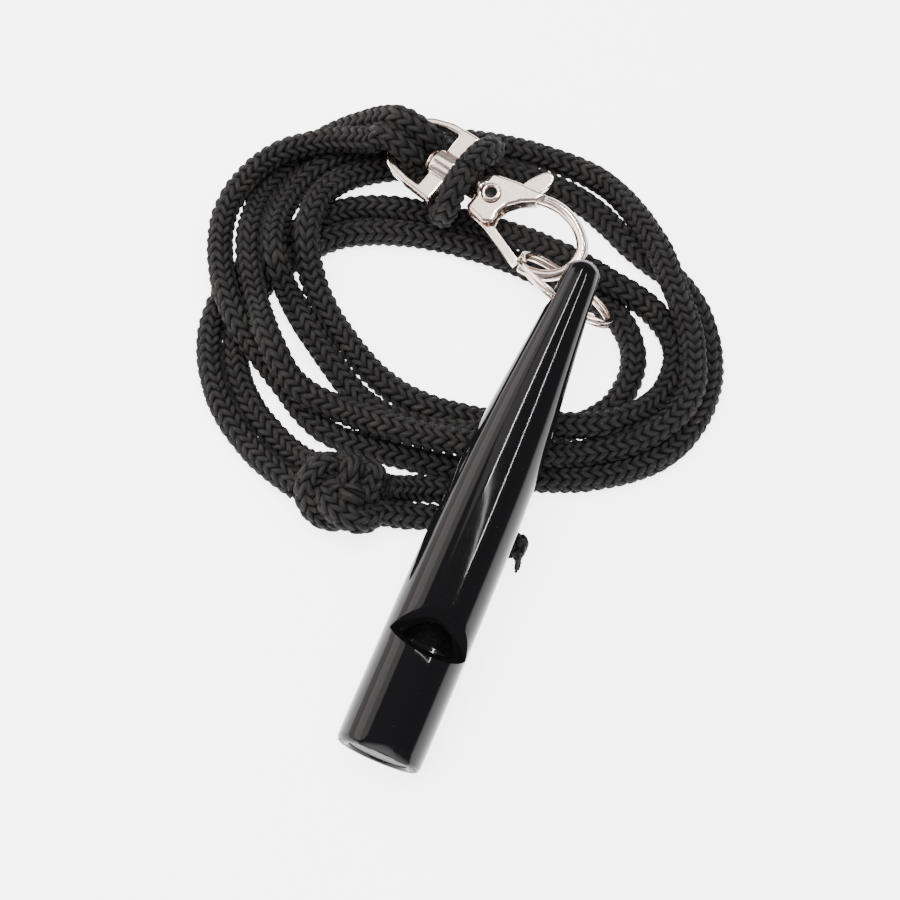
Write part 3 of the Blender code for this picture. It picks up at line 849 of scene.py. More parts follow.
@dataclass
class CordLay:
    """The routes of the doubled cord and how it settles on the table and on itself."""

    radius: float = 1.75 * MM
    spacing: float = 3.85 * MM
    step: float = 1.9 * MM
    rounds: int = 420
    outer: tuple = (
        (-8.1, 40.7, 12.8), (-9.0, 38.0, 12), (-9.8, 35.7, 9.8), (-11.2, 35.4, 6.9),
        (-12.7, 37.6, 5.7),
        (-15.0, 39.6, 5.9), (-17.6, 40.5, 8.6), (-20.1, 41.2, 11.1), (-23.0, 41.8, 11.5),
        (-24.3, 41.6, 10), (-31.3, 41.6, 5.5), (-38.8, 35.6, 4.5), (-41.3, 24.6, 5.5),
        (-37.8, 14.6, 5.5), (-31.8, 7.6, 5), (-23.3, 2.6, 2), (-13.3, -2.9, 2), (-1.3, -2.4, 2),
        (12.2, 0.1, 2), (26.2, 5.6, 2), (35.7, 14.1, 2), (37.7, 24.6, 2), (34.2, 34.1, 2),
        (28.2, 40.1, 2), (19.2, 43.6, 2), (9.2, 48.1, 2), (-1.3, 49.1, 2), (-11.3, 46.6, 2),
        (-21.3, 42.1, 2), (-27.8, 35.6, 3), (-28.3, 25.6, 5.5), (-24.3, 18.1, 3), (-16.3, 11.1, 2),
        (-5.8, 5.6, 2), (6.7, 5.1, 2), (19.7, 9.1, 2), (25.7, 16.6, 2), (25.7, 25.6, 2),
        (20.2, 32.1, 2), (10.2, 34.1, 2), (-3.3, 35.1, 2), (-15.8, 33.1, 2), (-25.3, 28.6, 2),
        (-30.8, 20.6, 2), (-32.8, 11.1, 2), (-30.3, 2.6, 2), (-24.8, -3.9, 2), (-15.8, -8.9, 2.7),
        (-12.5, -9.7, 3.9),
    )
    inner: tuple = (
        (-8.0, 41.4, 12.8), (-7.3, 44.2, 12), (-6.9, 46.6, 9.8), (-8.0, 47.3, 6.9),
        (-10.5, 46.1, 5.4),
        (-13.2, 45.8, 5.9), (-15.8, 45.8, 8.7), (-18.8, 45.8, 11.1), (-21.8, 46.0, 11.5),
        (-26.3, 45.6, 8), (-33.8, 42.1, 2), (-37.8, 32.6, 2), (-36.3, 21.1, 5.5),
        (-31.8, 12.1, 5.5),
        (-26.3, 5.1, 7), (-19.8, 0.6, 5), (-11.3, 0.1, 4), (-0.8, 0.6, 5.5), (10.7, 3.6, 5),
        (22.2, 7.1, 3), (31.2, 13.1, 3.5), (35.7, 20.6, 5), (33.2, 29.6, 5), (27.7, 37.1, 5),
        (21.2, 44.6, 4), (10.7, 52.1, 2), (-1.3, 53.1, 2), (-12.3, 51.1, 2), (-22.3, 46.1, 2),
        (-30.8, 39.6, 2), (-33.8, 30.1, 2.5), (-31.3, 19.6, 5.5), (-26.8, 15.6, 2), (-18.3, 9.1, 2),
        (-7.8, 3.1, 2), (4.2, 3.6, 2), (17.7, 8.1, 5), (27.2, 12.1, 4.5), (32.2, 20.1, 2),
        (31.7, 28.1, 2), (26.2, 33.1, 2), (17.2, 34.6, 4.5), (7.2, 36.1, 5.5), (-4.8, 37.6, 3.5),
        (-14.3, 37.6, 2), (-24.8, 33.6, 2), (-31.3, 26.1, 2), (-35.8, 17.1, 2), (-36.3, 6.6, 2),
        (-31.3, -2.9, 2), (-23.3, -9.4, 2), (-13.8, -13.4, 2.9),
    )
    upper: tuple = (
        (-0.6, -9.4, 4.9), (0.9, -8.3, 3.2), (3.7, -6.6, 2), (7.2, -5.6, 2), (10.7, -5.2, 2),
    )
    lower: tuple = (
        (-0.2, -12.7, 3.2), (3.6, -11.3, 2.2), (7.9, -10.0, 2), (14.2, -9.6, 2), (19.1, -9.8, 2),
    )
    snap_rods: tuple = (
        ((-6.9, 0, 0), (-2, 0, 0), 2.0), ((-10.9, 0, 0), (-7.3, 0, 0), 2.2),
        ((-8.6, -5.6, 0), (-8.6, 6, 0), 1.8), ((-1, -3.6, 0), (-1, 3, 0), 1.9),
        ((1, -4, 0), (9.5, -7, 0), 1.3), ((1, 3, 0), (6, 7.5, 0), 1.3),
    )
    whistle_rods: tuple = (
        ((0, 6, 0), (0, 36, 0), 6.4), ((0, 36, 0), (0, 56, 0), 5.6), ((0, 56, 0), (0, 77, 0), 4.2),
    )

    def rods(self) -> tuple[np.ndarray, ...]:
        """Everything hard that the cord keeps clear of.

        Returns:
            The starts, the ends and the distance that the cord's middle keeps.
        """
        arch = [(x, y, 0) for x, y, _, _ in ARCH]
        eye = [((a + c) / 2, (b + d) / 2, 0) for (a, b), (c, d) in zip(EYE_OUTER, EYE_INNER)]
        snap = [*self.snap_rods, *((a, b, 1.1) for a, b in zip(arch, arch[1:]))]
        snap += [(a, b, 1.25) for a, b in zip(eye, eye[1:])]
        reach = RING_RADIUS / MM
        angles = np.linspace(0, 2 * math.pi, 17)
        turns = [(reach * math.cos(a), reach * math.sin(a), 0) for a in angles]
        ring = [(a, b, 0.85) for a, b in zip(turns, turns[1:])]
        found = []
        groups = (
            (PLACING.snap(), snap),
            (PLACING.whistle(), self.whistle_rods),
            (PLACING.ring(), ring),
        )
        for place, group in groups:
            for start, end, radius in group:
                keep = radius * MM + self.radius + 0.15 * MM
                found.append((place @ (Vector(start) * MM), place @ (Vector(end) * MM), keep))
        return tuple(np.array(column) for column in zip(*found))

    @staticmethod
    def shoved(
        points: np.ndarray, starts: np.ndarray, ends: np.ndarray, keep: np.ndarray
    ) -> np.ndarray:
        """How far each point has to move to clear the rods."""
        along = ends - starts
        share = ((points[:, None] - starts) * along).sum(2) / (along * along).sum(1)
        apart = points[:, None] - (starts + np.clip(share, 0, 1)[..., None] * along)
        length = np.linalg.norm(apart, axis=2) + 1e-12
        return (apart * (np.clip(keep - length, 0, None) / length)[..., None]).sum(1)

    def settled(self) -> list[np.ndarray]:
        """Lets the strands lie on the table and on each other.

        Returns:
            The middle lines of the two strands and the two tails.
        """
        strands = []
        for given in (self.outer, self.inner, self.upper, self.lower):
            line = smooth_line(np.array(given) * MM, 8)
            strands.append(evenly(line, round(line_length(line) / self.step) + 1))
        sizes = [len(s) for s in strands]
        last = np.cumsum(sizes)
        start = np.concatenate(strands)
        points = start.copy()
        owner = np.repeat(range(len(strands)), sizes)
        order = np.concatenate([np.arange(n) for n in sizes])
        reach = 2.2 * self.spacing / self.step
        near = (owner[:, None] == owner) & (abs(order[:, None] - order) < reach)
        fixed = np.isin(np.arange(len(points)), [*(last - 1), *(last - np.array(sizes))])
        obstacles = self.rods()
        own_bend = np.zeros_like(start)
        own_bend[1:-1] = (start[:-2] + start[2:]) / 2 - start[1:-1]
        for _ in range(self.rounds):
            apart = points[:, None] - points
            length = np.linalg.norm(apart, axis=2) + 1e-12
            short = np.where(near, 0, np.clip(self.spacing - length, 0, None))
            push = (apart * (short / length)[..., None]).sum(1)
            moved = points + 0.5 * push / np.maximum((short > 0).sum(1), 1)[:, None]
            bend = np.zeros_like(points)
            bend[1:-1] = (moved[:-2] + moved[2:]) / 2 - moved[1:-1]
            moved += 0.3 * (bend - own_bend)
            moved += 0.7 * self.shoved(moved, *obstacles)
            moved[fixed] = start[fixed]
            moved[:, 2] = np.maximum(moved[:, 2], self.radius)
            points = moved
        return np.split(points, last[:-1])


@dataclass
class Knitter:
    """Makes a length of knitted cord with its stitches standing in relief."""

    knit: KnitSizes = KnitSizes()
    radius: float = 2.03 * MM
    ring_step: float = 0.18 * MM
    around: int = 35
    twist: float = 9.0  # radians of wale spiral in a metre
    overlap: float = 0.45 * MM

    def stitches(self, across: np.ndarray, along: np.ndarray) -> np.ndarray:
        """The height of the knitted cover.

        Args:
            across: wale counts.
            along: stitch counts.

        Returns:
            Heights from 0 in the grooves to 1 on the yarn.
        """
        leg = abs(across % 1 - 0.5) * 2
        offset = abs((along - self.knit.slope * leg) % 1 - 0.5) * 2
        yarn = np.sqrt(np.clip(1 - offset**2, 0, None))
        return yarn * (0.55 + 0.45 * np.sin(np.pi * leg))

    def cord(
        self, name: str, line: np.ndarray, seed: int, open_end: bool = False
    ) -> bpy.types.Mesh:
        """Knits round a line, and a little past both ends so that lengths run into each other.

        Args:
            name: the mesh's name.
            line: the middle of the cord.
            seed: what sets its unevenness.
            open_end: whether the last end is a cut one, drawn in.

        Returns:
            The mesh, with its stitch map.
        """
        ends = [2 * line[0] - line[1], line[-1] - line[-2]]
        ends[0] = line[0] + (line[0] - line[1]) / np.linalg.norm(line[0] - line[1]) * self.overlap
        ends[1] = line[-1] + ends[1] / np.linalg.norm(ends[1]) * self.overlap
        line = np.vstack([ends[0], line, ends[1]])
        length = line_length(line)
        path = evenly(line, max(int(length / self.ring_step), 8))
        travelled = np.linspace(0, length, len(path))
        dice = np.random.default_rng(seed)
        waves = sum(
            dice.uniform(0.3, 1.0) * np.sin(travelled / size + dice.uniform(0, 6.28))
            for size in (0.9 * MM, 1.7 * MM, 3.1 * MM, 7 * MM)
        )
        angle = np.linspace(0, 2 * math.pi, self.around + 1)
        across = (angle / (2 * math.pi) * self.knit.wales)[None, :] + 0 * travelled[:, None]
        wale = np.floor(across[:, :-1] + 1e-6)
        sway = 0.05 * np.sin(travelled[:, None] / (2.3 * MM) + wale * 2.1)
        along = (travelled / self.knit.pitch + 0.07 * waves)[:, None] + 0 * angle[None, :]
        height = self.stitches(across[:, :-1], along[:, :-1] + sway)
        width = self.radius + self.knit.relief * (height - 0.82) + 0.035 * MM * waves[:, None]
        turn = angle[None, :-1] + self.twist * travelled[:, None]
        if open_end:
            left = np.clip((length - travelled + 0.1 * MM) / (1.3 * MM), 0, 1)[:, None]
            width = width * (0.5 + 0.5 * np.sqrt(left))
        rings = swept(path, width, turn)
        rings[..., 2] = np.maximum(rings[..., 2], 0.02 * MM)
        mesh = loft(name, rings)
        self.map_stitches(mesh, across, along)
        return mesh

    def map_stitches(self, mesh: bpy.types.Mesh, across: np.ndarray, along: np.ndarray) -> None:
        """Writes the wale and stitch counts as the mesh's stitch map."""
        around = self.around
        layer = mesh.uv_layers.new(name="stitch")
        corner = np.empty(len(mesh.loops), int)
        mesh.loops.foreach_get("vertex_index", corner)
        ring, place = corner // around, corner % around
        face = np.repeat(np.arange(len(mesh.polygons)), [p.loop_total for p in mesh.polygons])
        seam = np.zeros(len(mesh.polygons), bool)
        quads = len(mesh.polygons) - 2
        seam[:quads] = (np.arange(quads) % around) == around - 1
        place = np.where(seam[face] & (place == 0), around, place)
        chart = np.column_stack([across[ring, place], along[ring, place]])
        layer.data.foreach_set("uv", chart.astype(np.float32).ravel())


@dataclass
class Lanyard:
    """The neck cord: two strands from the hitch on the snap to the knot, the knot and two tails."""

    lay: CordLay = field(default_factory=CordLay)
    knitter: Knitter = field(default_factory=Knitter)
    knot_centre: tuple[float, float, float] = (-6.1, -12.2, 5.4)
    knot_size: tuple[float, float, float] = (1.27, 1.42, 1.7)
    tail_past: float = 2.2 * MM
    hairs: int = 900
    hair_half: float = 0.014 * MM
    yarns: int = 16
    knot_reach: tuple[float, float, float] = (5.6 * MM, 5.2 * MM, 4.6 * MM)
    open_turn: float = 0.45  # radians of the loop left out where it meets each strand

    def knot_line(self, shift: float, start: np.ndarray, end: np.ndarray) -> np.ndarray:
        """One of the two strands through the overhand knot.

        Args:
            shift: how far the strand lies to the side of the pair's middle, in mm.
            start: where it comes in, in mm.
            end: where it goes out, in mm.

        Returns:
            The strand's middle, in metres.
        """
        t = np.linspace(math.pi + self.open_turn, 3 * math.pi - self.open_turn, 40)
        loop = np.column_stack([
            np.sin(t) + 2 * np.sin(2 * t), -(np.cos(t) - 2 * np.cos(2 * t)), -np.sin(3 * t)
        ])
        loop *= self.knot_size
        along = np.gradient(loop, axis=0)
        along /= np.linalg.norm(along, axis=1)[:, None]
        side = np.cross(along, (0, 0, 1.0))
        side /= np.linalg.norm(side, axis=1)[:, None]
        tip = np.column_stack([np.zeros((40, 2)), np.sin(2 * t)])
        loop = loop + shift * (side + 0.45 * tip) + self.knot_centre
        loop[:, 2] = np.maximum(loop[:, 2], self.lay.radius / MM)
        return smooth_line(np.vstack([start, loop, end]), 6) * MM

    @staticmethod
    def show(shop: Shop, mesh: bpy.types.Mesh, *nodes: str, **extra: object) -> bpy.types.Object:
        """Shows one part of the cord under its mesh's name."""
        return shop.show(mesh.name, mesh, Body.LANYARD, Slot.CORD, nodes, 60, **extra)

    def knot(self, shop: Shop) -> tuple[bpy.types.Object, ...]:
        """The overhand knot in both strands."""
        parts = []
        lay = self.lay
        ends = ((1.6, lay.outer[-1], lay.upper[0]), (-1.6, lay.inner[-1], lay.lower[0]))
        for number, (shift, start, end) in enumerate(ends, 1):
            line = self.knot_line(shift, np.array(start), np.array(end))
            mesh = self.knitter.cord(f"knot_turn_{number}", line, 40 + number)
            parts.append(self.show(shop, mesh, "lanyard_knot"))
        return tuple(parts)

    def fuzz(
        self, shop: Shop, lines: list[np.ndarray], fibre: bpy.types.Material
    ) -> bpy.types.Object:
        """Short hairs standing off the cord."""
        dice = np.random.default_rng(5)
        everywhere = np.concatenate(lines)
        knot = np.array(self.knot_centre) * MM
        verts, faces = [], []
        for k in range(self.hairs):
            on_knot = k % 3 == 0
            root = knot if on_knot else everywhere[dice.integers(len(everywhere))]
            out = dice.normal(size=3)
            out[2] = abs(out[2])
            out /= np.linalg.norm(out)
            root = root + out * (self.knot_reach if on_knot else self.knitter.radius * 0.9)
            bend = dice.normal(size=3) * 0.9
            reach = dice.uniform(0.25, 0.85) * MM
            across = np.cross(out, bend)
            across /= np.linalg.norm(across) + 1e-9
            thick = self.hair_half
            stem = [root + out * reach * s + bend * reach * s * s * 0.6 for s in (0, 0.5, 1)]
            base = len(verts)
            for spot, wide in zip(stem, (thick, thick, thick * 0.4)):
                top = spot + out * wide * 0.5 + bend * wide * 0.3
                verts += [spot + across * wide, spot - across * wide, top]
            for row in (0, 3):
                low = base + row
                for a, b in ((0, 1), (1, 2), (2, 0)):
                    faces.append([low + a, low + b, low + 3 + b, low + 3 + a])
            faces += [[base, base + 1, base + 2], [base + 6, base + 8, base + 7]]
        mesh = bpy.data.meshes.new("cord_fuzz")
        mesh.from_pydata([tuple(np.maximum(v, (-1, -1, 0.02 * MM))) for v in verts], [], faces)
        return self.show(shop, mesh, material=fibre)

    def frayed_end(
        self, shop: Shop, line: np.ndarray, fibre: bpy.types.Material
    ) -> bpy.types.Object:
        """The yarn ends that splay out of the cut end of the lower tail."""
        dice = np.random.default_rng(11)
        tip = line[-1]
        ahead = line[-1] - line[-6]
        ahead /= np.linalg.norm(ahead)
        level = np.array([-ahead[1], ahead[0], 0])
        meshes = []
        for k in range(self.yarns):
            turn = 2 * math.pi * k / self.yarns
            aside = level * math.cos(turn) + np.array([0, 0, 1.0]) * math.sin(turn)
            droop = np.array([0, -0.55, -0.5])
            reach = dice.uniform(0.5, 1.35) * MM
            root = tip - ahead * 1.0 * MM + aside * 0.9 * MM
            stem = [
                root,
                root + (ahead + 0.5 * aside) * reach * 0.5,
                root + (ahead * 0.9 + 0.75 * aside + droop * 0.6) * reach,
                root + (ahead * 0.8 + 0.9 * aside + droop * dice.uniform(0.8, 1.6)) * reach * 1.35,
            ]
            path = evenly(smooth_line(np.array(stem), 6), 16)
            path[:, 2] = np.maximum(path[:, 2], 0.3 * MM)
            lumps = 1 + 0.12 * np.sin(np.arange(16) * 2.4)
            wide = np.linspace(0.5, 0.2, 16)[:, None] * MM * lumps[:, None]
            angle = np.linspace(0, 2 * math.pi, 8, endpoint=False)
            meshes.append(loft("yarn", swept(path, wide, angle)))
        bm = bmesh.new()
        for mesh in meshes:
            bm.from_mesh(mesh)
            bpy.data.meshes.remove(mesh)
        joined = finished("frayed_end", bm)
        return self.show(shop, joined, material=fibre)

    def build(self, shop: Shop, fibre: bpy.types.Material) -> None:
        lines = [smooth_line(line, 10) for line in self.lay.settled()]
        ahead = lines[3][-1] - lines[3][-3]
        ahead /= np.linalg.norm(ahead)
        steps = np.linspace(0.25, 1, 5)[:, None] * self.tail_past
        lines[3] = np.vstack([lines[3], lines[3][-1] + steps * ahead])
        knot = self.knot(shop)
        fray = self.frayed_end(shop, lines[3], fibre)
        fuzz = self.fuzz(shop, lines, fibre)
        names = ("strand_outer", "strand_inner", "tail_upper", "tail_lower")
        pieces = []
        for seed, (name, line) in enumerate(zip(names, lines)):
            mesh = self.knitter.cord(f"cord_{name}", line, seed + 1, name.startswith("tail"))
            pieces.append(self.show(shop, mesh, f"lanyard_{name}"))
        outer, inner, upper, lower = pieces
        strands = (
            (outer, lines[0], [knot[0], upper, fuzz]),
            (inner, lines[1], [knot[1], lower, fray]),
        )
        for piece, line, on_it in strands:
            path = evenly(line, int(line_length(line) / MM))
            line_length(line)
            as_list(on_it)


# --------------------------------------------------------------------- whistle


@dataclass
class Whistle:
    """The moulded whistle: body, air column, window, bevelled mouth, tip hole and windway plug."""

    length: float = 80 * MM
    outline: tuple = (
        (0.8, 6.38), (4.5, 6.42), (12, 6.4), (20, 6.36), (28, 6.27), (36, 6.11), (44, 5.83),
        (50, 5.45), (56, 4.94), (62, 4.31), (67, 3.74), (72.5, 3.16), (76, 2.87),
    )
    mouth_rim: tuple = ((0.0, 0.0), (0.0, 5.6), (0.06, 5.86), (0.2, 6.09), (0.45, 6.27))
    tip_radius: float = 2.85 * MM
    bore_radius: float = 4.6 * MM
    bore_depth: float = 46 * MM
    flare: float = 0.35 * MM
    window_at: float = 17.3 * MM
    window_floor: float = 2.2 * MM
    lip_run: float = 2.3 * MM
    ramp_run: float = 5.0 * MM
    bevel_floor: float = 4.5 * MM
    bevel_run: float = 1.9 * MM
    rib_half: float = 2.3 * MM
    shoulder: float = 1.3 * MM
    hole_at: float = 72.5 * MM
    hole_radius: float = 1.5 * MM

    def profile(self) -> list[tuple[float, float]]:
        """The outside, from the middle of the mouth end to the tip."""
        body = smooth_line(np.array(self.outline), 5)
        rows = [*self.mouth_rim, *map(tuple, body)]
        profile = [(y * MM, r * MM) for y, r in rows]
        last = self.length - self.tip_radius
        for k in range(1, 13):
            angle = math.radians(18 + 72 * k / 12)
            along, out = math.sin(angle), math.cos(angle)
            profile.append((last + self.tip_radius * along, self.tip_radius * out))
        profile[-1] = (self.length, 0.0)
        return profile

    def body(self) -> bpy.types.Mesh:
        """The body with everything cut into it."""
        end = self.bore_depth + 2 * MM
        flare = self.bore_radius + self.flare
        bore = [
            (-MM, 0), (-MM, flare), (0, flare), (self.flare, self.bore_radius),
            (self.bore_depth, self.bore_radius), (end, 2 * MM), (end, 0),
        ]
        top = 9 * MM
        widest = max(r for _, r in self.outline) * MM
        rise = (top - self.window_floor) / (widest - self.window_floor)
        window = [
            (self.window_at, self.window_floor), (self.window_at + rise * self.ramp_run, top),
            (self.window_at - rise * self.lip_run, top),
        ]
        rim = 6.3 * MM - self.bevel_floor
        slope = (top - self.bevel_floor) / rim
        mouth = [
            (-MM, self.bevel_floor - rim * MM / self.bevel_run),
            (slope * self.bevel_run, top), (-MM, top),
        ]
        hole = cylinder("hole", -8 * MM, 8 * MM, self.hole_radius, 40, Axis.X)
        hole.transform(Matrix.Translation((0, self.hole_at, 0)))
        work = Casting(turned("whistle_moulding", self.profile(), 128))
        work.cut(turned("bore", bore, 96), wedge("window", window), wedge("mouth", mouth), hole)
        work.rounded(0.11 * MM, 3, 28)
        return work.taken(PLACING.whistle())

    def plug(self) -> bpy.types.Mesh:
        """The windway plug, with its flat top and raised rib."""
        radius = self.bore_radius - 0.3 * MM
        low = math.asin(self.shoulder / radius)
        arc = [math.pi - low + (math.pi + 2 * low) * k / 48 for k in range(49)]
        section = [(radius * math.cos(a), radius * math.sin(a)) for a in arc]
        section += [
            (self.rib_half, self.shoulder), (self.rib_half, self.window_floor),
            (-self.rib_half, self.window_floor), (-self.rib_half, self.shoulder),
        ]
        ends = (0.4 * MM, self.window_at - 0.1 * MM)
        rings = np.array([[(x, y, z) for x, z in section] for y in ends])
        work = Casting(loft("windway_plug", rings)).rounded(0.12 * MM, 3, 35)
        return work.taken(PLACING.whistle())

    def leave_matt(self, moulding: bpy.types.Object, matt: bpy.types.Material) -> None:
        """Gives the faces that a polishing wheel can't reach their plain finish."""
        moulding.data.materials.append(matt)
        back = PLACING.whistle().inverted()
        turn = back.to_3x3()
        for face in moulding.data.polygons:
            spot, facing = back @ face.center, turn @ face.normal
            reach = math.hypot(spot.x, spot.z)
            inward = facing.x * spot.x + facing.z * spot.z < -0.5 * reach
            wall = reach < self.bore_radius * 1.02 and inward and spot.y < self.bore_depth + 3 * MM
            if wall or (spot.y < 0.5 * MM and facing.y < -0.8):
                face.material_index = 1

    def build(self, shop: Shop) -> None:
        """Makes both pieces."""
        matt = MattMoulding().make()
        for mesh, node in ((self.body(), "whistle_body"), (self.plug(), "fipple_plug")):
            piece = shop.show(mesh.name, mesh, Body.WHISTLE, Slot.PLASTIC, (node,), 30)
            self.leave_matt(piece, matt)


# ------------------------------------------------------------------ split ring


@dataclass
class SplitRing:
    """Two turns of rounded flat wire with a short step between them."""

    wire: tuple[float, float] = (0.8 * MM, 0.65 * MM)
    pitch: float = 0.75 * MM
    start: float = 60.0
    steps: int = 340
    squareness: float = 0.62

    def build(self, shop: Shop) -> None:
        """Makes the ring."""
        share = np.linspace(0, 1, self.steps + 1)
        angle = math.radians(self.start) + share * 2 * math.radians(352)
        rise = np.clip((share - 0.44) / 0.12, 0, 1)
        lift = self.pitch * (rise * rise * (3 - 2 * rise) - 0.5)
        around = np.linspace(0, 2 * math.pi, 24, endpoint=False)
        wide, high = (
            size / 2 * np.sign(wave) * abs(wave) ** self.squareness
            for size, wave in zip(self.wire, (np.cos(around), np.sin(around)))
        )
        reach = RING_RADIUS + wide[None, :]
        thin = np.minimum(1, np.minimum(share, 1 - share)[:, None] * self.steps / 5 + 0.5)
        rings = np.stack(
            [
                reach * np.cos(angle)[:, None],
                reach * np.sin(angle)[:, None],
                lift[:, None] + high[None, :] * thin,
            ],
            axis=-1,
        )
        mesh = placed(loft("ring_wire", rings), PLACING.ring())
        shop.show("ring_wire", mesh, Body.RING, Slot.NICKEL, ("split_ring",), 40)


# ----------------------------------------------------------------- swivel snap


@dataclass
class SwivelSnap:
    """The trigger snap: cast hook, gate lever, eyelet rivet, spring, swivel pin and eye."""

    thick: float = 3.2 * MM
    slot_height: float = 1.9 * MM
    web: tuple[float, float] = (-0.65 * MM, 0.15 * MM)
    gate_half: float = 0.9 * MM
    shank: float = 1.1 * MM
    rivet_bore: float = 0.8 * MM
    flange: float = 1.6 * MM
    spring_wire: float = 0.18 * MM
    spring_height: float = 0.55 * MM
    pin_radius: float = 1.2 * MM
    pin_head: tuple[float, float] = (1.8 * MM, 0.7 * MM)
    neck: float = 2.0 * MM
    eye_half: float = 1.0 * MM
    barrel_radius: float = 2.2 * MM
    barrel: tuple[float, float] = (-11.0 * MM, -7.2 * MM)
    gap: float = 0.3 * MM
    grain: float = 0.13 * MM
    cheek: tuple = (
        (1.6, -4.6), (-2.1, -3.9), (-1.9, 2.9), (2.4, 3.9), (6.0, 4.3), (7.4, 4.6), (6.5, 2.7),
        (4.6, 1.4),
        (3.2, -0.3), (2.7, -2.0), (3.1, -3.7),
    )
    arm: tuple = ((3.3, -4.0), (9.6, -6.4), (9.3, -7.6), (2.1, -5.1))
    lever: tuple = (
        (2.6, -4.7), (0.9, -1.9), (1.9, 0.4), (3.0, 2.1), (5.8, 4.7), (6.3, 7.2), (5.7, 8.1),
        (4.7, 8.0),
        (3.4, 6.1), (1.8, 2.5), (-0.5, 1.8), (-1.6, 0.5), (-1.5, -1.2), (0.0, -3.4), (1.4, -4.8),
    )
    slot: tuple = (
        (-1.95, -7.0), (-1.95, 2.2), (-1.2, 9.0), (8.0, 9.0), (5.6, 3.6), (2.6, 1.2), (2.1, -0.9),
        (4.6, -1.4), (4.6, -7.0),
    )

    def drill(self, radius: float) -> bpy.types.Mesh:
        """A cylinder along the rivet."""
        return cylinder("drill", -6 * MM, 6 * MM, radius, 48, Axis.Z)

    def hook(self) -> bpy.types.Mesh:
        """The cast hook."""
        hole = self.pin_radius + self.gap
        half = self.slot_height / 2
        cheek = plate("hook_casting", self.cheek, -self.thick / 2, self.thick / 2)
        work = Casting(cheek).rounded(0.45 * MM, 4)
        neck = cylinder("neck", -6.9 * MM, -1.75 * MM, self.neck, 48, Axis.X)
        work.join(rod("arch", np.array(ARCH), 6, 28), neck)
        work.cut(plate("slot", self.slot, -half, half), self.drill(self.shank + self.gap * 0.8))
        work.cut(cylinder("bore", -8 * MM, -3 * MM, hole, 40, Axis.X))
        return work.cast(self.grain, 7).taken(PLACING.snap())

    def gate(self) -> bpy.types.Mesh:
        """The gate lever: thumb tab, web and closing arm."""
        work = Casting(plate("gate_casting", smooth_line(np.array(self.lever), 6, True), *self.web))
        work.join(plate("arm", self.arm, -self.gate_half, self.gate_half))
        work.cut(self.drill(self.shank + self.gap * 0.8))
        return work.cast(0.09 * MM, 5).taken(PLACING.snap())

    def rivet(self) -> bpy.types.Mesh:
        """The eyelet, with its rolled rims."""
        edge = self.thick / 2 + self.gap / 2
        top = edge + 0.45 * MM
        rim = []
        middle = (self.flange + self.rivet_bore) / 2
        half = (self.flange - self.rivet_bore) / 2
        for k in range(9):
            angle = math.pi * k / 8
            rise = (top - edge) * math.sin(angle) ** 0.8
            rim.append((edge + 0.02 * MM + rise, middle + half * math.cos(angle)))
        upper = [(edge, self.flange), *rim]
        lower = [(-y, r) for y, r in reversed(upper)]
        profile = [*lower, (-edge, self.shank), (edge, self.shank), *upper]
        return placed(turned("rivet_eyelet", profile, 64, Axis.Z), PLACING.snap())

    def paint_bore_shade(self, eyelet: bpy.types.Object) -> None:
        """Gives the inside of the eyelet its dull finish."""
        eyelet.data.materials.append(PaintedBoreShade().make())
        back = PLACING.snap().inverted()
        for face in eyelet.data.polygons:
            spot = back @ face.center
            inside = math.hypot(spot.x, spot.y) < self.rivet_bore * 1.02
            if inside and abs(spot.z) < self.thick / 2:
                face.material_index = 1

    def spring(self) -> bpy.types.Mesh:
        """The gate's torsion spring."""
        angles = np.radians(np.linspace(-150, 120, 40))
        coil = [(1.6 * math.cos(a), 1.6 * math.sin(a)) for a in angles]
        flat = smooth_line(np.array([(-1.6, -3.0), *coil, (-1.4, 1.9)]), 3) * MM
        path = np.column_stack([flat, np.full(len(flat), self.spring_height)])
        angle = np.linspace(0, 2 * math.pi, 12, endpoint=False)
        rings = swept(path, self.spring_wire, angle)
        return placed(loft("gate_torsion_spring", rings), PLACING.snap())

    def pin(self) -> bpy.types.Mesh:
        """The headed pin that the eye turns on."""
        start = self.barrel[0] - self.gap
        radius, tall = self.pin_head
        dome = [
            (
                start - tall + tall * 0.75 * (1 - math.cos(a)),
                radius * 0.55 + radius * 0.45 * math.sin(a),
            )
            for a in np.linspace(0, math.pi / 2, 7)
        ]
        profile = [(start - tall, 0), *dome, (start, radius), (start, self.pin_radius)]
        profile += [(-3.3 * MM, self.pin_radius), (-3.3 * MM, 0)]
        return placed(turned("swivel_pin_turned", profile, 48, Axis.X), PLACING.snap())

    def eye(self) -> bpy.types.Mesh:
        """The flat loop with the barrel in its crossbar."""
        hole = self.pin_radius + self.gap
        outside, inside = (
            [edge[0], *map(tuple, smooth_line(np.array(edge[1:-1]), 6)), edge[-1]]
            for edge in (EYE_OUTER, EYE_INNER)
        )
        work = Casting(plate("eye_casting", outside, -self.eye_half, self.eye_half))
        work.cut(plate("opening", inside, -4 * MM, 4 * MM)).rounded(0.35 * MM, 3)
        work.join(cylinder("barrel", *self.barrel, self.barrel_radius, 48, Axis.X))
        work.cut(cylinder("bore", -13 * MM, -6 * MM, hole, 40, Axis.X))
        return work.cast(self.grain, 14).taken(PLACING.snap())

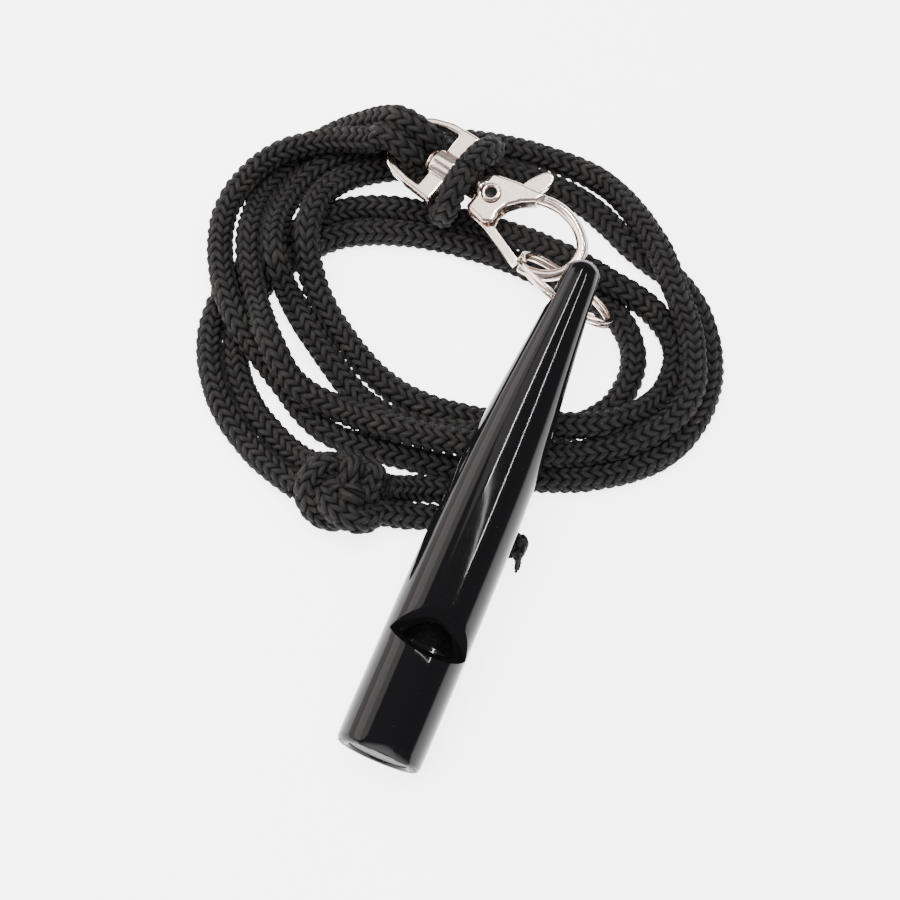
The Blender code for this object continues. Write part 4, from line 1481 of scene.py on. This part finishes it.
    def build(self, shop: Shop) -> None:
        """Makes the six pieces."""
        parts = (
            (self.hook, Body.HOOK, Slot.NICKEL, "hook_body", 60),
            (self.gate, Body.GATE, Slot.NICKEL, "gate_lever", 60),
            (self.rivet, Body.HOOK, Slot.NICKEL, "gate_rivet", 50),
            (self.spring, Body.HOOK, Slot.SPRING, "gate_spring", 50),
            (self.pin, Body.HOOK, Slot.NICKEL, "swivel_pin", 35),
            (self.eye, Body.LANYARD, Slot.NICKEL, "swivel_eye", 60),
        )
        for make, body, slot, node, sharp in parts:
            mesh = make()
            piece = shop.show(mesh.name, mesh, body, slot, (node,), sharp)
            # the eyelet's bore gets painted shade
            if node == "gate_rivet":
                self.paint_bore_shade(piece)


# ---------------------------------------------------------------------- studio


@dataclass(frozen=True)
class Panel:
    """One area lamp."""

    name: str
    at: tuple[float, float, float]
    aim: tuple[float, float, float]
    size: tuple[float, float]
    radiance: float
    colour: tuple[float, float, float] = (1.0, 1.0, 1.0)
    in_gloss: bool = True

    def hang(self) -> None:
        """Makes the lamp."""
        lamp = bpy.data.lights.new(self.name, "AREA")
        lamp.shape = "RECTANGLE"
        lamp.size, lamp.size_y = self.size
        lamp.energy = self.radiance * math.pi * self.size[0] * self.size[1]
        lamp.color = self.colour
        item = linked(self.name, lamp)
        item.location = self.at
        facing = (Vector(self.aim) - Vector(self.at)).to_track_quat("-Z", "Y")
        item.rotation_mode = "QUATERNION"
        item.rotation_quaternion = facing
        item.visible_glossy = self.in_gloss


@dataclass
class Studio:
    """Camera, floor, lamps and a frame of thin tubes."""

    target: tuple[float, float, float] = (5.0 * MM, 1.74 * MM, 0.0)
    azimuth: float = 21.9
    elevation: float = 66.0
    distance: float = 0.4
    lens: float = 105.9
    tube_height: float = 0.42
    tube_width: float = 0.0065
    tube_corners: tuple = ((-0.03, 0.34), (-0.03, 0.06), (0.30, 0.03), (0.25, 0.34))
    tube_radiance: tuple[float, float, float] = (320.0, 36.0, 320.0)

    def camera(self) -> None:
        """Sets the camera at its viewing angle."""
        a, e = math.radians(self.azimuth), math.radians(self.elevation)
        back = Vector((math.sin(a) * math.cos(e), -math.cos(a) * math.cos(e), math.sin(e)))
        data = bpy.data.cameras.new("camera")
        data.lens, data.sensor_width = self.lens, 36
        data.clip_start, data.clip_end = 0.01, 20
        item = linked("camera", data)
        item.location = Vector(self.target) + back * self.distance
        item.rotation_mode = "QUATERNION"
        item.rotation_quaternion = (-back).to_track_quat("-Z", "Y")
        bpy.context.scene.camera = item

    def floor(self) -> None:
        """Lays the pale floor, which carries the painted glow."""
        bm = bmesh.new()
        bmesh.ops.create_grid(bm, x_segments=2, y_segments=2, size=1.5)
        mesh = finished("floor", bm)
        mesh.materials.append(PaintedGlowFloor().make())
        item = linked("floor", mesh)

    def lamps(self) -> None:
        """Hangs the lamps and sets the room."""
        room = bpy.data.worlds.new("room")
        room.use_nodes = True
        glow = room.node_tree.nodes["Background"]
        glow.inputs["Color"].default_value = (0.98, 0.95, 1.0, 1)
        glow.inputs["Strength"].default_value = 0.36
        bpy.context.scene.world = room
        centre = (0.0, 0.01, 0.0)
        warm = (1.0, 0.9, 0.88)
        waist = (0, 0, 0.02)
        panels = (
            Panel("overhead", (0.05, -0.1, 0.9), centre, (0.8, 0.8), 10.0, in_gloss=False),
            Panel("wall_low", (-0.55, 0.0, 0.10), waist, (0.9, 0.18), 3.2, warm),
            Panel("wall_middle", (-0.50, 0.0, 0.27), waist, (0.9, 0.2), 6.4, warm),
            Panel("wall_high", (-0.40, -0.02, 0.42), waist, (0.8, 0.18), 4.0, warm),
            Panel(
                "metal_card", (-0.13, 0.16, 0.42), (0.0, 0.04, 0.0), (0.2, 0.2), 2.6,
                (1.0, 0.95, 0.93),
            ),
            Panel("far_card", (0.1, 0.5, 0.2), (0.0, 0.0, 0.0), (0.35, 0.02), 3.5),
        )
        for panel in panels:
            panel.hang()
        corners = [Vector((x, y, self.tube_height)) for x, y in self.tube_corners]
        runs = zip(corners, corners[1:], self.tube_radiance)
        for k, (start, end, radiance) in enumerate(runs):
            self.strip(f"tube_{k}", start, end, self.tube_width, radiance)

    @staticmethod
    def strip(name: str, near: Vector, far: Vector, width: float, radiance: float) -> None:
        """A long thin lamp from one point to another, facing down."""
        lamp = bpy.data.lights.new(name, "AREA")
        lamp.shape = "RECTANGLE"
        along = far - near
        lamp.size, lamp.size_y = width, along.length
        lamp.energy = radiance * math.pi * width * along.length
        item = linked(name, lamp)
        item.location = (near + far) / 2
        item.rotation_euler = (0, 0, math.atan2(-along.x, along.y))
        item.visible_diffuse = False


def main() -> None:
    """Builds and dresses the whole object."""
    logging.basicConfig(level=logging.INFO, format="%(message)s")
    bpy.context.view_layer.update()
    studio = Studio()
    studio.camera()
    shop = Shop({
        Slot.PLASTIC: GlossPlastic().make(),
        Slot.NICKEL: NickelPlate().make(),
        Slot.SPRING: SpringSteel().make(),
        Slot.CORD: KnittedYarn().make(),
    })
    Lanyard().build(shop, LooseFibre().make())
    Whistle().build(shop)
    SplitRing().build(shop)
    SwivelSnap().build(shop)
    studio.floor()
    studio.lamps()


if __name__ == "__main__":
    main()
